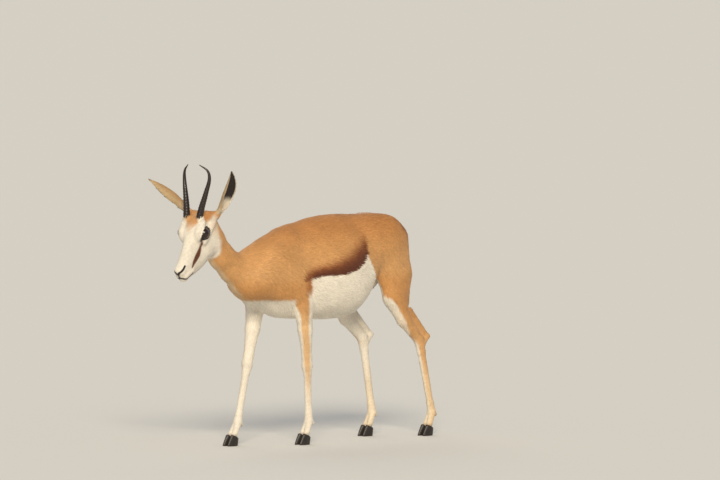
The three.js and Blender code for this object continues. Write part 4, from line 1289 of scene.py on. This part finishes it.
def unwrap(name, p):  # a root's place in the unit square, on an unwrap of the skin's own shape
    s, l, z = p.T

    def strip(along, low, high, around, row=0, rows=1):
        u = 0.01 + 0.98 * np.clip((along - low) / (high - low), 0, 1)
        v = (row + 0.01 + 0.98 * (around / (2 * math.pi) + 0.5)) / rows
        return np.column_stack([u, v])
    if name.startswith("coat_torso"):
        half = np.arctan2(np.abs(l), z - 575)
        return strip(s, -450, 250, half * 2 - math.pi)
    if name == "coat_neck":
        return strip(s * 0.7 + z * 0.7, 480, 900, np.arctan2(l, z - 500 - (s - 200) * 0.75))
    if name == "coat_head":
        a, b, c = headPoint(p).T
        return strip(a, -130, 172, np.arctan2(b, c + 30))
    if name == "coat_ears":
        first = l > 10
        out = np.zeros((len(p), 2))
        for row, (mine, place) in enumerate(((first, ears["left"]), (~first, ears["right"]))):
            way = unit(place["way"])
            across = unit(np.cross(place["open"], way))
            front = np.cross(way, across)
            off = p[mine] - place["root"] - np.array(place["bow"]) * 0.8
            swing = np.arctan2(off @ across, off @ front)
            out[mine] = strip(off @ way, -20, build["earLength"], swing, row, 2)
        return out
    if name == "coat_tail":
        return strip(z, 420, 700, np.arctan2(l, s + 468))
    fore = name == "coat_forelegs"
    out = np.zeros((len(p), 2))
    for row, side in enumerate((1, -1)):
        mine = l * side >= 0
        leg = ("foreleg_" if fore else "hindleg_") + ("left" if side > 0 else "right")
        axis, middle = legLine(leg, z[mine])
        out[mine] = strip(z[mine], 30, 440, np.arctan2(l[mine] - middle, s[mine] - axis), row, 2)
    return out


def fromRoom(p):
    return np.column_stack([shiftBy[0] - p[:, 0] * 1000, shiftBy[1] - p[:, 1] * 1000, p[:, 2] * 1000])


def hairSize(p, marks):  # local length of the hair against its piece's own
    s, _, z = p.T
    q = headPoint(p)
    size = 1 - 0.35 * smoothStep(60, 150, q[:, 0]) * (s > 400)
    size *= 1 + 2.2 * smoothStep(560, 520, z) * onTail(p)
    size *= 1 - 0.3 * smoothStep(150, 60, z)
    size *= 1 + 0.5 * marks[:, 1] * smoothStep(0.7, 0.95, marks[:, 2])
    for side in (1, -1):
        size *= 1 + 0.8 * smoothStep(24, 15, np.linalg.norm(q - (-24, side * 24, 38), axis=1))
    return size


tuft = makeTuft()
tree = coatTree()
inputId = {item.name: item.identifier for item in tree.interface.items_tree if item.in_out == "INPUT"}
skinFlow = flowOf(skinPoints, skinNormals, skinEars)
skinBare = hairless(skinPoints)
skinSize = hairSize(skinPoints, skinEars)
faceRegion = regionOf(skinPoints[skinFaces].mean(1), skinEars[skinFaces].max(1))


def layCoat(name, index, settings):
    mine = skinFaces[faceRegion == index]
    used, flat = np.unique(mine, return_inverse=True)
    mesh = meshFrom(name + "Base", toRoom(skinPoints[used]), flat.reshape(-1, 3))
    storeOn(mesh, "flow", "FLOAT_VECTOR", turnRoom(skinFlow[used]))
    storeOn(mesh, "hairThick", "FLOAT", 1 - skinBare[used])
    storeOn(mesh, "hairLength", "FLOAT", skinSize[used])
    storeOn(mesh, "earMark", "FLOAT_VECTOR", skinEars[used])
    base = pieceFrom(name + "Base", mesh)
    grow = base.modifiers.new("grow", "NODES")
    grow.node_group = tree
    grow[inputId["Tuft"]] = tuft
    grow[inputId["Finish"]] = tuftMaterial
    for size in coatSizes:
        grow[inputId[size.capitalize()]] = settings[size] / (1 if size in ("lift", "stray") else 1000)
    grow[inputId["Seed"]] = 20 + index
    graph = bpy.context.evaluated_depsgraph_get()
    coatMesh = bpy.data.meshes.new_from_object(base.evaluated_get(graph), depsgraph=graph)
    coatMesh.name = name
    bpy.data.objects.remove(base)
    bpy.data.meshes.remove(mesh)
    perTuft = len(tuftShape["points"])
    roots = fromRoom(readFrom(coatMesh, "rootPlace", 3)[::perTuft])
    normals = unit(readFrom(coatMesh, "rootNormal", 3)[::perTuft])
    marks = readFrom(coatMesh, "earMark", 3)[::perTuft]
    colour = coat(roots, turnRoom(normals), marks)
    rng = np.random.default_rng(40 + index)
    colour = colour * rng.normal(1, 0.07, (len(roots), 1)).clip(0.75, 1.3)
    # painted shade: each tuft's colour is darker at its root and lighter at its tip
    rootShade = np.array(tuftShape["rootShade"])
    colour = np.clip(colour[:, None] * rootShade[None, :, None], 0, 1).reshape(-1, 3)
    storeOn(coatMesh, "coatColour", "FLOAT_COLOR", np.column_stack([colour, np.ones(len(colour))]))
    patch = unwrap(name, roots)[:, None] + np.array(tuftShape["patch"])[None] * tuftShape["patchHalf"]
    loops = np.empty(len(coatMesh.loops), np.int32)
    coatMesh.loops.foreach_get("vertex_index", loops)
    layer = coatMesh.uv_layers.new(name="OFBake")
    layer.data.foreach_set("uv", patch.reshape(-1, 2)[loops].astype(np.float32).ravel())
    points = pointsOf(coatMesh).reshape(-1, perTuft, 3)
    across = unit(points[:, 1] - points[:, 0])
    bend = np.array(tuftShape["bend"])
    lit = unit(normals[:, None] + across[:, None] * bend[None, :, None]).reshape(-1, 3)
    for leftover in ("rootPlace", "rootNormal", "earMark", "flow", "hairThick", "hairLength"):
        if leftover in coatMesh.attributes:
            coatMesh.attributes.remove(coatMesh.attributes[leftover])
    coatMesh.polygons.foreach_set("use_smooth", np.ones(len(coatMesh.polygons), bool))
    coatMesh.normals_split_custom_set_from_vertices(lit.tolist())
    print("coat:", name, len(roots), "tufts,", len(coatMesh.polygons), "faces")
    return pieceFrom(name, coatMesh, tuftMaterial)


coatPieces = [layCoat(name, index, settings) for index, (name, settings) in enumerate(coats.items())]
bpy.data.objects.remove(tuft)


# Horns: a lyre, ringed over its lower half and smooth at the hooked tips

horn = {
    "seat": (-32, 0, 35), "sunk": 8, "flat": 0.94, "rows": 220, "around": 40, "foot": -0.01,
    "ringsFrom": 0.06, "ringsTo": 0.64, "ringCount": 12, "ringDeep": 1.5, "grooves": 11, "grooveDeep": 0.16,
    "insetTo": 0.05, "inset": 0.65,  # the root draws back into the brow
}
hornSpread = curve((0, 24), (0.25, 30), (0.5, 40), (0.75, 49), (0.9, 44), (1, 22))
hornLean = curve((0, 0), (0.12, 0), (0.5, 5), (1, 5))
hornBack = curve((0, 0), (0.5, 6), (0.75, 11), (0.9, 8), (1, -3))
hornThick = curve((0, build["hornRoot"]), (0.15, 11.3), (0.5, 8.2), (0.8, 5.2), (0.94, 3), (1, 1.2))


def makeHorn(side):
    root = inHead(*horn["seat"])
    swing = np.linspace(0, 2 * math.pi, horn["around"], endpoint=False)

    def path(t):
        along = max(t, 0)
        out = leftAxis * (side * float(hornSpread(along)) + float(hornLean(along)))
        rise = np.array([-float(hornBack(along)), 0, build["hornRise"] * along - horn["sunk"]])
        return root + out + rise + headAxes[2] * build["hornRise"] * min(t, 0)

    def section(t):
        share = (t - horn["ringsFrom"]) / (horn["ringsTo"] - horn["ringsFrom"])
        fade = smoothStep(-0.05, 0.1, share) * smoothStep(1.05, 0.8, share)
        phase = (share * horn["ringCount"]) % 1
        ridge = horn["ringDeep"] * fade * ((1 - abs(2 * phase - 1)) ** 1.6 - 0.35)
        grooves = horn["grooveDeep"] * np.sin(swing * horn["grooves"] + t * 5) * (1 - smoothStep(0.5, 0.8, t))
        r = float(hornThick(t)) + ridge * (0.75 + 0.25 * np.cos(swing)) + grooves
        inset = horn["inset"] * smoothStep(horn["insetTo"], 0.0, t)
        r = r * (1 - inset)
        return np.stack([r * np.cos(swing) * horn["flat"], r * np.sin(swing) - inset * build["hornRoot"]], 1)
    return loft(sweep(path, np.linspace(horn["foot"], 1, horn["rows"]), (1, 0, 0), section))


def makeHornMaterial():
    material, nodes, links, shader = newMaterial("hornSheath", 0.36, coatWeight=0.12)
    grain = addNoise(nodes, links, 1.0, 6, (320, 320, 26))
    addRamp(nodes, links, shader, grain, (0.3, (16, 10, 8)), (0.75, (50, 34, 26)))
    links.new(addRange(nodes, links, grain, 0.28, 0.55), shader.inputs["Roughness"])
    addBump(nodes, links, shader, grain, 0.4, 0.0006)
    return material


hornMaterial = makeHornMaterial()
hornPieces = {}
for name, side in sides.items():
    points, faces = makeHorn(side)
    mesh = meshFrom("horn_" + name, toRoom(points), faces)
    hornPieces[name] = pieceFrom("horn_sheath_" + name, mesh, hornMaterial)
print("horns made")


# Eyes: a dark iris with a level pupil under a wet cornea

eyeLook = {
    "rings": 56, "around": 72, "corneaHigh": 0.9, "iris": 10.5, "pupilLong": 6.0, "pupilHigh": 3.2,
    "level": (0.6293, 0, 0.7771),  # level in life, seen in the head
    "ballTone": (30, 18, 12), "irisTone": (40, 22, 12), "pupilTone": (6, 5, 6),
}


def makeEye(side):
    centre = eyeCentre(side)
    along, across, out = eyeAxes(side)
    radius = build["eyeRadius"]
    polar = np.linspace(0, math.pi, eyeLook["rings"])[1:-1]
    swing = np.linspace(0, 2 * math.pi, eyeLook["around"], endpoint=False)
    rings, colours = [], []
    level = unit(eyeLook["level"])
    level = unit(level - out * (level @ out))
    ballTone, irisTone, pupilTone = (srgb(*eyeLook[part]) for part in ("ballTone", "irisTone", "pupilTone"))
    upright = np.cross(out, level)
    for angle in polar:
        bulge = eyeLook["corneaHigh"] * smoothStep(0.62, 0.2, angle)
        ring = centre + (radius + bulge) * (math.cos(angle) * out + math.sin(angle)
                             * (np.cos(swing)[:, None] * along + np.sin(swing)[:, None] * across))
        rings.append(ring)
        off = ring - centre
        x, y = off @ level, off @ upright
        pupil = smoothStep(1.08, 0.92, np.hypot(x / eyeLook["pupilLong"], y / eyeLook["pupilHigh"]))
        iris = smoothStep(1.05, 0.97, np.hypot(x, y) / eyeLook["iris"]) * (math.cos(angle) > 0)
        tone = between(ballTone, irisTone, iris[:, None])
        colours.append(between(tone, pupilTone, pupil[:, None]))
    points, faces = loft(rings[::-1])
    colours = np.concatenate(colours[::-1] + [[ballTone, pupilTone]])
    points = np.array([inHead(*p) for p in points])
    way = np.cross(points[faces[:, 1]] - points[faces[:, 0]], points[faces[:, 2]] - points[faces[:, 0]])
    mid = points[faces].mean(1) - inHead(*centre)
    if (way * mid).sum() < 0:
        faces = faces[:, ::-1]
    return points, faces, colours


def makeEyeMaterial():
    material, nodes, links, shader = newMaterial("wetEye", 0.12, coatWeight=0.35)
    shader.inputs["Coat Roughness"].default_value = 0.03
    shader.inputs["Specular IOR Level"].default_value = 0.4
    tone = addNode(nodes, "ShaderNodeAttribute", attribute_name="eyeColour")
    links.new(tone.outputs["Color"], shader.inputs["Base Color"])
    return material


eyeMaterial = makeEyeMaterial()
eyePieces = {}
for name, side in sides.items():
    points, faces, colours = makeEye(side)
    mesh = meshFrom("eyeball_" + name, toRoom(points), faces)
    storeOn(mesh, "eyeColour", "FLOAT_COLOR", np.column_stack([colours, np.ones(len(colours))]))
    eyePieces[name] = pieceFrom("eyeball_" + name, mesh, eyeMaterial)
print("eyes made")


# Hooves: two to a foot, black, with a flat sole

hoofLook = {
    "around": 44, "rows": 26, "wave": 0.22, "waveCount": 46, "high": 32, "slope": 0.4, "apart": 9.9,
    "soleAt": 5, "soleLong": 23, "soleWide": 8.4, "heelWide": 0.22,
    "rimAt": -6, "rimLong": 15.5, "rimWide": 9.2,
}


def makeHoof(hoof, toe):
    swing = np.linspace(0, 2 * math.pi, hoofLook["around"], endpoint=False)
    look = hoofLook
    ahead, aside = np.cos(swing), np.sin(swing)
    sole = np.stack([look["soleAt"] + look["soleLong"] * ahead,
                     look["soleWide"] * aside * (1 - look["heelWide"] * ahead)], 1)
    rim = np.stack([look["rimAt"] + look["rimLong"] * ahead, look["rimWide"] * aside], 1)
    rings = []
    for t in np.linspace(0, 1, look["rows"]):
        draw = 1 - 0.07 * (1 - smoothStep(0, 0.08, t)) - 0.16 * smoothStep(0.93, 1, t)
        ridge = look["wave"] * math.sin(t * look["waveCount"]) * smoothStep(0.1, 0.3, t)
        ridge *= smoothStep(1, 0.85, t)
        shape = between(sole, rim, t) * draw + ridge * np.stack([ahead, aside], 1)
        x, y = shape.T
        height = look["high"] + (x - look["rimAt"]) * look["slope"] - 0.3
        out = toe * (look["apart"] + 0.05 * (x + 20))
        rings.append(np.column_stack([hoof[0] + x, hoof[1] + out + y, height * t]))
    points, faces = loft(rings)
    points[:, 2] = np.maximum(points[:, 2], 0)
    return points, faces


def makeHoofMaterial():
    material, nodes, links, shader = newMaterial("hoofHorn", 0.42)
    grain = addNoise(nodes, links, 160, 5)
    addRamp(nodes, links, shader, grain, (0, (18, 15, 13)), (1, (56, 47, 40)))
    addBump(nodes, links, shader, grain, 0.25, 0.0005)
    return material


hoofMaterial = makeHoofMaterial()
hoofPieces = {}
for name, joints in stance.items():
    legSide = 1 if name.endswith("left") else -1
    for toe in (-1, 1):
        node = name.replace("leg", "hoof") + ("_outer" if toe * legSide > 0 else "_inner")
        points, faces = makeHoof(joints[3], toe)
        hoofPieces[node] = pieceFrom("wall_" + node, meshFrom(node, toRoom(points), faces), hoofMaterial)
print("hooves made")


# What each piece rides on, with the solids that the pieces replace hidden

flesh = ["torso", "neck", "head", "tail", "ear_left", "ear_right"] + list(stance)
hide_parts(*flesh)
for piece in [skin] + coatPieces:
    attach(piece, "root")
for name in sides:
    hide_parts("horn_" + name)
    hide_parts("eye_" + name)
    for piece, slot in ((hornPieces[name], "horn"), (eyePieces[name], "eye")):
        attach(piece, "root")
for node, piece in hoofPieces.items():
    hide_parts(node)
    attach(piece, "root")


# Floor, light and camera

studio = {
    "floorSize": 400, "floorTone": (222, 219, 212), "worldTone": (236, 240, 246), "worldStrength": 0.46,
    "sunFar": 6,
    "suns": {
        "softKey": {"azimuth": 39, "height": 31, "spread": 20, "strength": 2.5, "tone": (255, 243, 222)},
        "rim": {"azimuth": 205, "height": 42, "spread": 40, "strength": 0.5, "tone": (255, 248, 236)},
    },
}
view = {  # the photograph's: a very long lens from the front left, a little above the animal's back
    "azimuth": 42, "elevation": 3.8, "distance": 39.6, "lens": 600, "sensor": 36,
    "photoWide": 720, "photoHigh": 480, "atX": 300, "atY": 443,
}


def makeFloor():
    half = studio["floorSize"] / 2
    corners = np.array([(-half, -half, 0), (half, -half, 0), (half, half, 0), (-half, half, 0)], float)
    material, _, _, shader = newMaterial("paleFloor", 0.9)
    shader.inputs["Base Color"].default_value = (*srgb(*studio["floorTone"]), 1)
    floor = pieceFrom("floor", meshFrom("floor", corners, np.array([[0, 1, 2, 3]])), material)


def aimAt(thing, target):
    way = Vector(target) - thing.location
    thing.rotation_euler = way.to_track_quat("-Z", "Y").to_euler()


def towards(azimuth, height):  # the way from the model to a light or the camera
    return Vector((-math.sin(azimuth) * math.cos(height), -math.cos(azimuth) * math.cos(height),
                   math.sin(height)))


def makeLights():
    world = bpy.data.worlds.new("studio")
    bpy.context.scene.world = world
    world.use_nodes = True
    world.node_tree.nodes["Background"].inputs["Color"].default_value = (*srgb(*studio["worldTone"]), 1)
    world.node_tree.nodes["Background"].inputs["Strength"].default_value = studio["worldStrength"]
    for name, sun in studio["suns"].items():
        azimuth, height = math.radians(sun["azimuth"]), math.radians(sun["height"])
        data = bpy.data.lights.new(name, "SUN")
        data.angle = math.radians(sun["spread"])
        data.energy = sun["strength"]
        data.color = srgb(*sun["tone"])
        light = bpy.data.objects.new(name, data)
        light.location = towards(azimuth, height) * studio["sunFar"]
        aimAt(light, (0, 0, 0))
        bpy.context.collection.objects.link(light)


def makeCamera():
    azimuth, elevation = math.radians(view["azimuth"]), math.radians(view["elevation"])
    right = Vector((math.cos(azimuth), -math.sin(azimuth), 0))
    metresPerPixel = view["distance"] / (view["lens"] / view["sensor"] * view["photoWide"])
    ground = Vector((shiftBy[0] / 1000, shiftBy[1] / 1000, 0))
    across = (view["photoWide"] / 2 - view["atX"]) * metresPerPixel
    middleHigh = (view["atY"] - view["photoHigh"] / 2) * metresPerPixel / math.cos(elevation)
    target = ground + right * across + Vector((0, 0, middleHigh))
    data = bpy.data.cameras.new("camera")
    data.lens = view["lens"]
    data.sensor_width = view["sensor"]
    data.clip_end = 500
    camera = bpy.data.objects.new("camera", data)
    camera.location = target + towards(azimuth, elevation) * view["distance"]
    aimAt(camera, target)
    bpy.context.collection.objects.link(camera)
    bpy.context.scene.camera = camera


bpy.context.scene.view_settings.view_transform = "Standard"
makeFloor()
makeLights()
makeCamera()
print("stage set")
